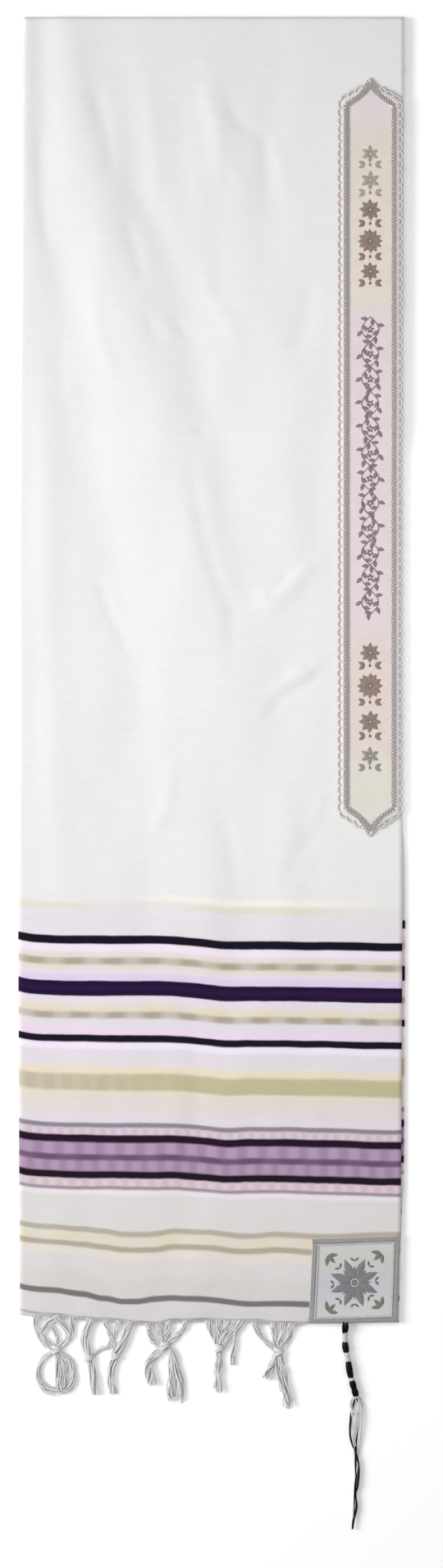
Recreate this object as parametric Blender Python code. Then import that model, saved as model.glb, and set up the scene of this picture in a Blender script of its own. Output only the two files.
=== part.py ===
"""A tallit prayer shawl, folded lengthwise and then folded over, lying flat on a surface.

+X is to the right of the shawl as it lies, +Y runs towards its top fold and +Z is up. The origin is the
middle of its footprint, on the surface. Lengths are in metres. A drop is a distance down the cloth from
the top fold, and a depth is a distance into the cloth from the front panel's outer face, so a piece that
lies on the panel has a depth below zero.
"""

import math

import bmesh
import bpy
import numpy as np

# The folded shawl
TOP_Y = 0.799  # the top fold, half of the whole length with the corner tassel
HEM_DROP = 1.371
HEM_SAG = 0.008  # how much lower the woven lines lie on the right than on the left
SAG_X = (-0.050, 0.037)  # where the woven lines go down
SAG_DROP = (0.780, 0.960)  # above this stretch the weave lies straight
STACK_FOUR = 0.0090  # height of four layers, above where the turned-back part ends
STACK_TWO = 0.0050  # height of two layers
STEP_DROP = (0.430, 0.474)  # where the height goes down from four layers to two
WALL = 0.0012
GAP = 0.0003

# The left and right edges of the folded shawl: drop, left x, right x
EDGES = np.array((
    (0.000, -0.1992, 0.2026),
    (0.560, -0.2044, 0.2009),
    (0.960, -0.2044, 0.2009),
    (1.280, -0.2030, 0.1992),
    (1.371, -0.2026, 0.1974),
))

# Rounding of the folds
FOLD_REACH = 0.0050  # how far in the left and top folds begin to turn down
LEFT_STEPS = 5
TOP_ANGLES = (90, 74, 56, 36, 18)
MOST_TURN = math.radians(70)  # how far a fold in a stack of two turns under
LIP_STEPS = 5
CORNER_DROP = 0.030  # the two folds of the left edge part below this
INNER_TOP_ANGLE = 56  # the hidden layers end here, inside the top fold

# Folds of the front panel: half width, height (a trough is below zero), x and drop of each waypoint
FOLDS = (
    (0.016, 0.0036, ((-0.172, 0.009), (-0.158, 0.104), (-0.137, 0.217), (-0.111, 0.329), (-0.076, 0.468),
                     (-0.068, 0.641))),
    (0.018, -0.0018, ((-0.141, 0.035), (-0.111, 0.156), (-0.072, 0.277), (-0.059, 0.355), (-0.016, 0.433),
                      (0.019, 0.650))),
    (0.012, -0.0010, ((-0.182, 0.030), (-0.172, 0.242), (-0.150, 0.372), (-0.141, 0.502), (-0.132, 0.641),
                      (-0.111, 0.675))),
    (0.012, -0.0012, ((-0.102, 0.580), (-0.094, 0.701))),
    (0.014, 0.0010, ((-0.183, 0.468), (-0.184, 0.883))),
    (0.014, -0.0013, ((-0.007, 0.061), (0.062, 0.182))),
    (0.014, 0.0016, ((-0.020, 0.150), (0.004, 0.330), (0.010, 0.420))),
    (0.011, 0.0020, ((0.046, 0.625), (0.082, 0.604), (0.108, 0.571))),
    (0.009, 0.0015, ((0.062, 0.716), (0.084, 0.700), (0.106, 0.684))),
)
FOLD_ENDS = 0.22  # share of a fold's length over which it fades at each end
FLAT_X = (0.108, 0.130)  # the folds fade over this stretch, and the strip right of it lies flat

# The front panel's lattice
NEAR_COLUMNS = 16
FAR_COLUMNS = 4
COLUMN_X = (-0.1994, 0.030, 0.118)  # close columns to the second, wider ones to the third
ROW_SPACING = 0.0285

# What peeks out at the right edge: drop, how far the layer below the front reaches past it
PEEK = np.array((
    (0.000, -0.0004),
    (0.850, 0.0006),
    (0.890, 0.0035),
    (1.228, 0.0034),
    (1.262, 0.0012),
    (1.371, -0.0006),
))
LAYER_SHIFT = (0.0, -0.0011, 0.0002)  # how far each hidden layer's edge lies from the first one's
LAYER_NOTCH = 0.0014
LAYER_ROUNDING = 0.0005
HIDDEN_HEM = 0.0036  # the hidden layer's hem lies about this far inside the front's

# Neckband
NECKBAND_X = 0.1671
NECKBAND_HALF = 0.0320
NECKBAND_TIPS = (0.0660, 0.8630)
TRIM_WIDTH = 0.0100
TRIM_TIP = 0.0090
TRIM_SIDE = 0.0005  # the trim lies this far inside the band's edge
BAND_WALL = 0.0010
# The pointed ends: distance from the tip, share of the half width
NECKBAND_END = (
    (0.0000, 0.03),
    (0.0080, 0.26),
    (0.0140, 0.48),
    (0.0175, 0.70),
    (0.0215, 0.94),
    (0.0235, 1.00),
)

# Corner patch: its corners' x and drop, from the upper left one clockwise
PATCH_CORNERS = ((0.1065, 1.2806), (0.1983, 1.2806), (0.1958, 1.3705), (0.1026, 1.3705))
PATCH_BORDER = 0.0070

# Fringe
FRINGE_STRIP = 0.0024
FRINGE_X = (-0.190, 0.094)
STRAND_RADIUS = 0.0016
FLOOR_GAP = 0.0004
LANDING = 0.015  # how far beyond the hem the strands reach the surface
ROOT_START = 0.0010
KNOT_RADIUS = 0.0046
KNOT_FLOOR_GAP = 0.0007
KNOT_SPREAD = 0.10  # share of a strand's way aside that is left in the middle of its knot
STRAND_LIFT = 0.00013
STRAND_TURN = 0.23
# Each knot: its x and distance beyond the hem, x of each strand's root above it, and its tails, with x
# and distance beyond the hem of a tail's middle and of its tip
KNOTS = (
    (-0.1655, 0.038, (-0.183, -0.172, -0.160, -0.148), ((-0.1835, 0.060, -0.1740, 0.081),
                                                        (-0.1690, 0.062, -0.1665, 0.086),
                                                        (-0.1470, 0.060, -0.1560, 0.082))),
    (-0.1270, 0.048, (-0.133, -0.126, -0.110), ((-0.1270, 0.066, -0.1225, 0.086),
                                                (-0.1210, 0.062, -0.1170, 0.081))),
    (-0.1045, 0.044, (-0.103, -0.091, -0.084), ((-0.1070, 0.062, -0.1060, 0.080),
                                                (-0.1010, 0.064, -0.1005, 0.083))),
    (-0.0490, 0.029, (-0.070, -0.057, -0.044, -0.031), ((-0.0640, 0.046, -0.0670, 0.066),
                                                        (-0.0450, 0.056, -0.0435, 0.086),
                                                        (-0.0390, 0.052, -0.0365, 0.089))),
    (0.0085, 0.030, (-0.003, 0.007, 0.018, 0.029), ((0.0030, 0.052, 0.0010, 0.081),
                                                    (0.0085, 0.056, 0.0070, 0.077),
                                                    (0.0180, 0.044, 0.0230, 0.055))),
    (0.0680, 0.034, (0.050, 0.062, 0.074, 0.087), ((0.0600, 0.049, 0.0560, 0.062),
                                                   (0.0710, 0.056, 0.0745, 0.078),
                                                   (0.0770, 0.053, 0.0825, 0.087))),
)

# Corner tassel: x and distance beyond the hem of the wound cord's waypoints
TASSEL_ROUTE = (
    (0.1412, 0.0006),
    (0.1407, 0.0135),
    (0.1412, 0.0250),
    (0.1442, 0.0410),
    (0.1464, 0.0550),
    (0.1496, 0.0670),
    (0.1530, 0.0790),
)
WINDING_RADIUS = 0.0024
TASSEL_KNOT_RADIUS = 0.0033
TASSEL_KNOTS = (0.0160, 0.0390, 0.0560, 0.0780)  # distance beyond the hem
TASSEL_KNOT_HALF = 0.0034
TASSEL_STATIONS = 27
TASSEL_STRAND_RADIUS = 0.0009
# Its loose strands: x and distance beyond the hem of two waypoints and of the tip, height of the middle
TASSEL_STRANDS = (
    (0.1462, 0.104, 0.1512, 0.142, 0.1490, 0.2190, 0.0014),
    (0.1490, 0.100, 0.1534, 0.150, 0.1516, 0.1970, 0.0030),
    (0.1545, 0.102, 0.1556, 0.156, 0.1526, 0.2110, 0.0014),
    (0.1580, 0.100, 0.1568, 0.138, 0.1543, 0.1760, 0.0033),
    (0.1604, 0.105, 0.1585, 0.136, 0.1562, 0.1640, 0.0014),
    (0.1516, 0.106, 0.1492, 0.146, 0.1470, 0.1820, 0.0032),
    (0.1562, 0.112, 0.1536, 0.160, 0.1502, 0.2040, 0.0048),
)

COLLECTION = "tallit prayer shawl"
# Colours: red, green, blue, roughness
FINISHES = {
    "woven cloth": (0.86, 0.86, 0.85, 0.85),
    "neckband cloth": (0.74, 0.68, 0.67, 0.70),
    "neckband braid": (0.42, 0.38, 0.35, 0.75),
    "patch cloth": (0.66, 0.66, 0.64, 0.75),
    "patch border": (0.30, 0.30, 0.30, 0.80),
    "fringe yarn": (0.72, 0.72, 0.71, 0.90),
    "tassel yarn": (0.06, 0.05, 0.08, 0.90),
}


def smooth_step(low, high, value):
    """0 below low, 1 above high, with a smooth change between them."""
    share = np.clip((np.asarray(value, float) - low) / (high - low), 0, 1)
    return share * share * (3 - 2 * share)


def fold_height(x, drop, half_width, height, waypoints):
    """Height that one fold adds at a point, from its distance to the line through the waypoints."""
    line = np.array(waypoints)
    steps = np.diff(line, axis=0)
    lengths = np.hypot(steps[:, 0], steps[:, 1])
    starts = np.concatenate(([0], np.cumsum(lengths)))
    nearest = np.full(np.shape(x), np.inf)
    along = np.zeros(np.shape(x))
    for start, step, length, before in zip(line, steps, lengths, starts):
        share = np.clip(((x - start[0]) * step[0] + (drop - start[1]) * step[1]) / length**2, 0, 1)
        away = np.hypot(x - start[0] - share * step[0], drop - start[1] - share * step[1])
        along = np.where(away < nearest, (before + share * length) / starts[-1], along)
        nearest = np.minimum(away, nearest)
    ends = smooth_step(0, FOLD_ENDS, along) * smooth_step(0, FOLD_ENDS, 1 - along)
    return height * (0.25 + 0.75 * ends) * np.exp(-((nearest / half_width) ** 2))


def layering(drop):
    """0 where the left edge shows two folds, one on the other, and 1 where it shows one."""
    in_corner = 1 - smooth_step(FOLD_REACH, CORNER_DROP, drop)
    return np.maximum(smooth_step(*STEP_DROP, drop), in_corner)


def fold_turn(apart):
    """Angle by which the upper fold of the left edge turns under, down to half the height."""
    return min(MOST_TURN, math.asin((1 - apart) / (1 + apart)))


def stack_height(x, drop):
    """Height of the front panel's outer face above the surface."""
    height = STACK_FOUR + (STACK_TWO - STACK_FOUR) * smooth_step(*STEP_DROP, drop)
    creased = 1 - smooth_step(*FLAT_X, x)
    return height + creased * sum(fold_height(x, drop, *fold) for fold in FOLDS)


def sag(x, drop):
    """How much lower the weave lies than its drop says."""
    return HEM_SAG * smooth_step(*SAG_DROP, drop) * smooth_step(*SAG_X, x)


def place(x, drop, height):
    """A point in the part's frame."""
    return np.stack(np.broadcast_arrays(x, TOP_Y - drop - sag(x, drop), height), axis=-1)


def edge_x(drop):
    """Left and right x of the folded shawl at a drop."""
    return np.interp(drop, EDGES[:, 0], EDGES[:, 1]), np.interp(drop, EDGES[:, 0], EDGES[:, 2])


def row_drops():
    """Drops of the front panel's rows below its top fold, with its steps and the hem among them."""
    marks = (FOLD_REACH, CORNER_DROP, *STEP_DROP, SAG_DROP[0], HEM_DROP)
    drops = [marks[0]]
    for start, end in zip(marks, marks[1:]):
        count = max(2, round((end - start) / ROW_SPACING))
        drops.extend(np.linspace(start, end, count + 1)[1:])
    return np.array(drops)


def column_shares():
    """Places of the columns between the left fold and the right edge, from 0 to 1."""
    start, middle, end = COLUMN_X
    near = np.linspace(start, middle, NEAR_COLUMNS)
    far = np.linspace(middle, end, FAR_COLUMNS + 1)[1:]
    right = EDGES[1, 2]
    return (np.concatenate((near, far, [right])) - start) / (right - start)


def panel_lattice(depth, top_angles=TOP_ANGLES):
    """Points of the folded front panel at a depth, row by row from the top fold to the hem.

    Each row starts where the left fold ends underneath, turns up round it and runs to the right edge.
    """
    top_rows = [(FOLD_REACH, math.radians(angle)) for angle in top_angles]
    rows = []
    for drop, angle in top_rows + [(drop, 0.0) for drop in row_drops()]:
        left, right = edge_x(drop)
        x = left + FOLD_REACH + column_shares() * (right - left - FOLD_REACH)
        height = stack_height(x, drop)
        apart = layering(drop)
        centre = (0.75 - 0.25 * apart) * height[0]
        radius = height[0] - centre
        turns = np.linspace(fold_turn(apart), -math.pi / 2, LEFT_STEPS + 1)[:-1]
        turned_x = left + FOLD_REACH - (FOLD_REACH - depth) * np.cos(turns)
        turned_height = centre - (radius - depth) * np.sin(turns)
        points = place(
            np.concatenate((turned_x, x)), drop, np.concatenate((turned_height, height - depth))
        )
        if angle:
            points[:, 1] = TOP_Y - FOLD_REACH + (FOLD_REACH - depth) * math.sin(angle)
            points[:, 2] *= math.cos(angle)
        rows.append(points)
    lattice = np.array(rows)
    lattice[np.abs(lattice) < 1e-9] = 0
    return lattice


def strip_height(drop):
    """Height of the flat strip under the neckband, read between the panel's rows as its faces are."""
    drops = row_drops()
    return np.interp(drop, drops, stack_height(np.full_like(drops, NECKBAND_X), drops))


def on_strip(x, drop, depth):
    """A point on the flat strip of the front panel, at a depth."""
    return place(x, drop, strip_height(drop) - depth)


def clear_scene():
    for obj in list(bpy.data.objects):
        bpy.data.objects.remove(obj, do_unlink=True)


def new_collection(name):
    collection = bpy.data.collections.new(name)
    bpy.context.scene.collection.children.link(collection)
    return collection


def new_material(name):
    """The material of a finish, made once."""
    if name in bpy.data.materials:
        return bpy.data.materials[name]
    red, green, blue, roughness = FINISHES[name]
    material = bpy.data.materials.new(name)
    material.use_nodes = True
    shader = material.node_tree.nodes["Principled BSDF"]
    shader.inputs["Base Color"].default_value = (red, green, blue, 1)
    shader.inputs["Roughness"].default_value = roughness
    shader.inputs["Metallic"].default_value = 0.0
    material.diffuse_color = (red, green, blue, 1)
    return material


def new_object(name, points, faces, finish, collection):
    """A closed mesh with its faces pointing out."""
    mesh = bpy.data.meshes.new(name)
    mesh.from_pydata([tuple(point) for point in points], [], faces)
    shaped = bmesh.new()
    shaped.from_mesh(mesh)
    bmesh.ops.recalc_face_normals(shaped, faces=shaped.faces)
    shaped.to_mesh(mesh)
    shaped.free()
    mesh.shade_smooth()
    mesh.set_sharp_from_angle(angle=math.radians(40))
    mesh.materials.append(new_material(finish))
    obj = bpy.data.objects.new(name, mesh)
    collection.objects.link(obj)
    return obj


def lattice_faces(rows, columns, start=0):
    """Triangles of a lattice, all cut along the same diagonal."""
    faces = []
    for row in range(rows - 1):
        for column in range(columns - 1):
            first = start + row * columns + column
            below = first + columns
            faces += [(first, first + 1, below + 1), (first, below + 1, below)]
    return faces


def sheet_solid(name, upper, lower, finish, collection):
    """A wall between an upper and a lower lattice."""
    rows, columns = upper.shape[:2]
    count = rows * columns
    rim = list(range(columns))
    rim += [row * columns + columns - 1 for row in range(1, rows)]
    rim += [(rows - 1) * columns + column for column in range(columns - 2, -1, -1)]
    rim += [row * columns for row in range(rows - 2, 0, -1)]
    faces = lattice_faces(rows, columns)
    faces += [face[::-1] for face in lattice_faces(rows, columns, count)]
    for first, second in zip(rim, rim[1:] + rim[:1]):
        faces += [(first, first + count, second + count), (first, second + count, second)]
    points = np.concatenate((upper.reshape(-1, 3), lower.reshape(-1, 3)))
    return new_object(name, points, faces, finish, collection)


def section_solid(name, sections, finish, collection, closed=False):
    """A solid through sections with the same number of points, with ends or closed into a ring."""
    sections = np.array(sections)
    count, around = sections.shape[:2]
    faces = []
    for row in range(count if closed else count - 1):
        here, there = row * around, (row + 1) % count * around
        for point in range(around):
            after = (point + 1) % around
            faces += [
                (here + point, here + after, there + after),
                (here + point, there + after, there + point),
            ]
    if not closed:
        faces.append(tuple(range(around)))
        faces.append(tuple(range((count - 1) * around, count * around)))
    return new_object(name, sections.reshape(-1, 3), faces, finish, collection)


def hidden_section(top, drop, angle):
    """Outline of the hidden layers at one row, from their top round the right, bottom and left edges."""
    left, right = edge_x(drop)
    apart = float(layering(drop))
    stack = top[-1, 2]
    shifts = right + np.interp(drop, PEEK[:, 0], PEEK[:, 1]) + (1 - apart) * np.array(LAYER_SHIFT)
    notches = np.minimum(shifts[:-1], shifts[1:]) - (1 - apart) * LAYER_NOTCH
    right_x = (shifts[0], notches[0], shifts[1], notches[1], shifts[2], shifts[2] - LAYER_ROUNDING)
    right_z = stack * np.arange(5, -1, -1) / 6

    bottom_x = (SAG_X[1], sum(SAG_X) / 2, SAG_X[0])
    bottom_z = (0, 0, 0)

    radius = (0.25 + 0.25 * apart) * float(stack_height(left + FOLD_REACH, drop))
    turn = fold_turn(apart)
    turns = np.linspace(math.pi / 2, -turn, LIP_STEPS)
    seam = radius * (1 + math.sin(turn))
    lip_x = left + FOLD_REACH - FOLD_REACH * np.cos(turns)
    lip_z = radius * (1 - np.sin(turns)) * (seam - GAP) / seam * math.cos(angle)
    neck_x = top[0, 0] + GAP

    x = np.concatenate((right_x, bottom_x, lip_x, [neck_x]))
    z = np.concatenate((right_z, bottom_z, lip_z, lip_z[-1:]))
    y = np.interp(x, top[LEFT_STEPS:, 0], top[LEFT_STEPS:, 1])
    return np.concatenate((top, np.stack((x, y, z), axis=1)))


def make_cloth(collection):
    """The visible front panel and the layers that it hides."""
    sheet_solid("shawl_front", panel_lattice(0), panel_lattice(WALL), "woven cloth", collection)
    angles = [angle for angle in TOP_ANGLES if angle <= INNER_TOP_ANGLE]
    tops = panel_lattice(WALL + GAP, angles)
    hidden_drops = [FOLD_REACH] * len(angles) + list(row_drops())
    row_angles = [math.radians(angle) for angle in angles] + [0.0] * len(row_drops())
    ends = tops[-1, [0, -1]]
    tops[-1, :, 1] = np.interp(tops[-1, :, 0], ends[:, 0], ends[:, 1]) + HIDDEN_HEM
    sections = [
        hidden_section(top, drop, angle) for top, drop, angle in zip(tops, hidden_drops, row_angles)
    ]
    section_solid("folded_layers", sections, "woven cloth", collection)


def band_outline(half_width, top_tip, bottom_tip):
    """Half width and drop of the neckband's outline, from its upper tip to its lower tip."""
    ends = [(share * half_width, distance) for distance, share in NECKBAND_END]
    shoulder = NECKBAND_END[-1][0] + TRIM_TIP
    straight = [
        (half_width, drop)
        for drop in row_drops()
        if NECKBAND_TIPS[0] + shoulder < drop < NECKBAND_TIPS[1] - shoulder
    ]
    top = [(half, top_tip + distance) for half, distance in ends]
    bottom = [(half, bottom_tip - distance) for half, distance in reversed(ends)]
    return np.array(top + straight + bottom)


def band_ring(outline, depth):
    """Points of an outline all round, down its right side and up its left."""
    half, drop = outline[:, 0], outline[:, 1]
    right = on_strip(NECKBAND_X + half, drop, depth)
    left = on_strip(NECKBAND_X - half, drop, depth)
    return np.concatenate((right, left[::-1]))


def make_neckband(collection):
    """The neckband and the braid sewn round its edge."""
    outline = band_outline(NECKBAND_HALF, *NECKBAND_TIPS)
    sides = np.stack((-outline[:, 0], outline[:, 0]), axis=1) + NECKBAND_X
    drops = np.repeat(outline[:, 1:], 2, axis=1)
    base = -GAP
    upper = on_strip(sides, drops, base - BAND_WALL)
    sheet_solid("neckband", upper, on_strip(sides, drops, base), "neckband cloth", collection)

    outer_tips = (NECKBAND_TIPS[0] + TRIM_SIDE, NECKBAND_TIPS[1] - TRIM_SIDE)
    inner_tips = (outer_tips[0] + TRIM_TIP, outer_tips[1] - TRIM_TIP)
    outer = band_outline(NECKBAND_HALF - TRIM_SIDE, *outer_tips)
    inner = band_outline(NECKBAND_HALF - TRIM_WIDTH, *inner_tips)
    low = base - BAND_WALL - GAP
    high = low - BAND_WALL
    corners = (band_ring(outer, low), band_ring(outer, high), band_ring(inner, high), band_ring(inner, low))
    section_solid("neckband_braid", np.stack(corners, axis=1), "neckband braid", collection, closed=True)


def make_patch(collection):
    """The corner patch and its border."""
    corners = np.array(PATCH_CORNERS)
    base = -GAP
    outline = corners[[0, 1, 3, 2]].reshape(2, 2, 2)
    upper = on_strip(outline[..., 0], outline[..., 1], base - BAND_WALL)
    lower = on_strip(outline[..., 0], outline[..., 1], base)
    sheet_solid("corner_patch", upper, lower, "patch cloth", collection)

    inward = np.array(((1, 1), (-1, 1), (-1, -1), (1, -1)))
    outer = corners + inward * TRIM_SIDE
    inner = corners + inward * PATCH_BORDER
    low = base - BAND_WALL - GAP
    high = low - BAND_WALL
    rings = [
        on_strip(outline[:, 0], outline[:, 1], depth)
        for outline, depth in ((outer, low), (outer, high), (inner, high), (inner, low))
    ]
    section_solid("patch_border", np.stack(rings, axis=1), "patch border", collection, closed=True)


def curve_through(points, steps):
    """Points of a smooth curve through the given ones, as a Catmull-Rom spline."""
    points = np.array(points)
    padded = np.concatenate(([2 * points[0] - points[1]], points, [2 * points[-1] - points[-2]]))
    share = np.linspace(0, 1, steps, endpoint=False)[:, None]
    curve = []
    for before, start, end, after in zip(padded, padded[1:], padded[2:], padded[3:]):
        curve.append(
            0.5 * (2 * start + (end - before) * share
                   + (2 * before - 5 * start + 4 * end - after) * share**2
                   + (3 * start - before - 3 * end + after) * share**3)
        )
    return np.concatenate((*curve, points[-1:]))


def tube_sections(route, radii, sides, turn=0.0):
    """Rings of a round cord that runs along a route which never stands upright."""
    route = np.array(route)
    ahead = np.gradient(route, axis=0)
    ahead /= np.linalg.norm(ahead, axis=1)[:, None]
    across = np.cross(ahead, (0, 0, 1))
    across /= np.linalg.norm(across, axis=1)[:, None]
    upward = np.cross(across, ahead)
    angles = turn + np.arange(sides) * 2 * math.pi / sides
    radii = np.broadcast_to(radii, len(route))[:, None, None]
    around = np.cos(angles)[None, :, None] * across[:, None] + np.sin(angles)[None, :, None] * upward[:, None]
    return route[:, None] + radii * around


def hem_point(x, beyond, height):
    """A point beyond the hem."""
    return (x, TOP_Y - HEM_DROP - float(sag(x, HEM_DROP)) - beyond, height)


def strand_height(beyond, radius, start):
    """Height of a strand's middle, which comes down from the hem to just above the surface."""
    low = radius + FLOOR_GAP
    return low + (start - low) * (1 - float(smooth_step(0, LANDING, beyond)))


def union_of(base, pieces):
    """Joins the pieces to the base by a Boolean union."""
    for number, piece in enumerate(pieces):
        piece.hide_render = True
        piece.display_type = "WIRE"
        union = base.modifiers.new(f"union {number}", "BOOLEAN")
        union.operation = "UNION"
        union.solver = "MANIFOLD"
        union.object = piece


def make_knot(name, centre, radius, finish, helpers):
    """A knot's rounded lump, wider than it is high."""
    shaped = bmesh.new()
    bmesh.ops.create_icosphere(shaped, subdivisions=1, radius=radius)
    points = np.array([vertex.co[:] for vertex in shaped.verts])
    faces = [tuple(vertex.index for vertex in face.verts) for face in shaped.faces]
    shaped.free()
    flat = (centre[2] - KNOT_FLOOR_GAP) / radius
    return new_object(name, points * (1, 1, flat) + centre, faces, finish, helpers)


def make_fringe(collection, helpers):
    """The knotted fringe: locks of strands on a narrow strip along the hem."""
    shares = column_shares()
    left, right = edge_x(HEM_DROP)
    columns = left + FOLD_REACH + shares * (right - left - FOLD_REACH)
    inside = columns[(columns > FRINGE_X[0]) & (columns < FRINGE_X[1])]
    stations = np.concatenate(([FRINGE_X[0]], inside, [FRINGE_X[1]]))
    top = STACK_TWO - GAP
    root = top - WALL / 2
    strip = [
        [
            hem_point(x, GAP, top),
            hem_point(x, GAP + FRINGE_STRIP, top),
            hem_point(x, GAP + FRINGE_STRIP, top - WALL),
            hem_point(x, GAP, top - WALL),
        ]
        for x in stations
    ]
    fringe = section_solid("fringe", strip, "fringe yarn", collection)
    pieces = []
    for number, (knot_x, knot_beyond, roots, tails) in enumerate(KNOTS):
        knot_height = STRAND_RADIUS + FLOOR_GAP
        centre = hem_point(knot_x, knot_beyond, knot_height)
        pieces.append(make_knot(f"knot {number}", centre, KNOT_RADIUS, "fringe yarn", helpers))
        ways = []
        for root_x in roots:
            aside = root_x - knot_x
            ways.append((
                (root_x, ROOT_START),
                (root_x - aside * 0.12, LANDING / 2),
                (root_x - aside * 0.62, knot_beyond * 0.72),
                (knot_x + aside * KNOT_SPREAD, knot_beyond),
            ))
        for middle_x, middle, tip_x, tip in tails:
            start = (knot_x + (middle_x - knot_x) * KNOT_SPREAD, knot_beyond)
            ways.append((start, (middle_x, middle), (tip_x, tip)))
        for strand, way in enumerate(ways):
            lift = STRAND_LIFT * (strand % 3)
            route = [
                hem_point(x, beyond, lift + strand_height(beyond, STRAND_RADIUS, root))
                for x, beyond in way
            ]
            turn = -math.pi / 2 + STRAND_TURN * strand
            sections = tube_sections(curve_through(route, 2), STRAND_RADIUS, 3, turn)
            name = f"strand {number} {strand}"
            pieces.append(section_solid(name, sections, "fringe yarn", helpers))
    union_of(fringe, pieces)


def make_tassel(collection, helpers):
    """The corner tassel: a wound and knotted cord that ends in loose strands."""
    start = STACK_TWO - WALL / 2
    route = curve_through([(*point, 0) for point in TASSEL_ROUTE], 5)
    picked = np.linspace(0, len(route) - 1, TASSEL_STATIONS)
    route = np.stack([np.interp(picked, range(len(route)), route[:, axis]) for axis in (0, 1)], axis=1)
    radii = np.full(len(route), WINDING_RADIUS)
    for middle in TASSEL_KNOTS:
        near = 1 - smooth_step(0, TASSEL_KNOT_HALF, np.abs(route[:, 1] - middle))
        radii += near * (TASSEL_KNOT_RADIUS - WINDING_RADIUS)
    points = [
        hem_point(x, beyond, strand_height(beyond, TASSEL_KNOT_RADIUS, start)) for x, beyond in route
    ]
    head = section_solid("corner_tassel", tube_sections(points, radii, 8), "tassel yarn", collection)
    end_x, end = TASSEL_ROUTE[-1]
    pieces = []
    for strand, (x1, beyond1, x2, beyond2, tip_x, tip, height) in enumerate(TASSEL_STRANDS):
        offset = (strand - (len(TASSEL_STRANDS) - 1) / 2) * 0.0006
        route = [
            hem_point(end_x + offset, end - 0.002, TASSEL_KNOT_RADIUS + FLOOR_GAP),
            hem_point(end_x + 1.6 * offset, end + 0.004, (TASSEL_KNOT_RADIUS + height) / 2),
            hem_point(x1, beyond1, height),
            hem_point(x2, beyond2, height),
            hem_point(tip_x, tip, height),
        ]
        sections = tube_sections(curve_through(route, 3), TASSEL_STRAND_RADIUS, 4, turn=math.pi / 4)
        name = f"tassel strand {strand}"
        pieces.append(section_solid(name, sections, "tassel yarn", helpers))
    union_of(head, pieces)


def main():
    clear_scene()
    collection = new_collection(COLLECTION)
    helpers = new_collection("pieces joined to others")
    make_cloth(collection)
    make_neckband(collection)
    make_patch(collection)
    make_fringe(collection, helpers)
    make_tassel(collection, helpers)


main()
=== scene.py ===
"""A folded tallit prayer shawl: white woven cloth with purple and gold stripes, a neckband with a braid, a
corner patch with a satin border, a knotted fringe and a wound corner tassel.

A drop is a distance down the cloth from the top fold, a depth is a distance into the cloth from the front
panel's outer face, and beyond is a distance past the hem. Lengths are in metres.
"""

import math
import random

import bmesh
import bpy
import numpy as np
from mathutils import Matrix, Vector


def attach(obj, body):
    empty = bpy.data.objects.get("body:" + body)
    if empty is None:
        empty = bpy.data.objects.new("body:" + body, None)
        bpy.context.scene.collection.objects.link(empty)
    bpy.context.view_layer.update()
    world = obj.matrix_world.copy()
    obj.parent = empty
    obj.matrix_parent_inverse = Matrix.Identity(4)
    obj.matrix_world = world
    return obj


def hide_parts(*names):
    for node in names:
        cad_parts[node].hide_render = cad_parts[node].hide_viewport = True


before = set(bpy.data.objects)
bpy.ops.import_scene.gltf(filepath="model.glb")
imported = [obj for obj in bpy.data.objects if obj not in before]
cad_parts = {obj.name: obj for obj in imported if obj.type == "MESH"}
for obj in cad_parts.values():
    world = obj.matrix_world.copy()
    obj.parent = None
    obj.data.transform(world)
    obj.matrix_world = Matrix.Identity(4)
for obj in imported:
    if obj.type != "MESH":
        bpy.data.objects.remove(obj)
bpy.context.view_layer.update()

# The folded shawl, as its solids have it
TOP_Y = 0.799
HEM_DROP = 1.371
FAR_HEM_DROP = 0.452  # where the turned-back part ends underneath
HEM_SAG = 0.008  # how much lower the hem hangs on the right
SAG_X = (-0.050, 0.037)
SAG_DROP = (0.780, 0.960)
STACK_FOUR = 0.0090  # height where four layers lie on each other
STACK_TWO = 0.0050
STEP_DROP = (0.430, 0.474)  # where the height changes
WALL = 0.0012
GAP = 0.0003  # between a piece and the one below it
TINY = 1e-9  # keeps a division from zero
EDGES = np.array((  # drop, left x, right x
    (0.000, -0.1992, 0.2026),
    (0.560, -0.2044, 0.2009),
    (0.960, -0.2044, 0.2009),
    (1.280, -0.2030, 0.1992),
    (1.371, -0.2026, 0.1974),
))
FOLD_REACH = 0.0050
MOST_TURN = math.radians(70)  # of the left edge's upper fold
CORNER_DROP = 0.030  # the left fold is a single one down to here
INNER_TOP_ANGLE = 56  # how far the hidden layers follow the panel round the top fold
FLAT_X = (0.108, 0.130)  # the folds fade out here, and the strip to the right is flat
FOLD_ENDS = 0.22  # share of a small fold's length over which it fades out at each end
FOLD_END_HEIGHT = 0.25  # share of its height that is left there

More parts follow.
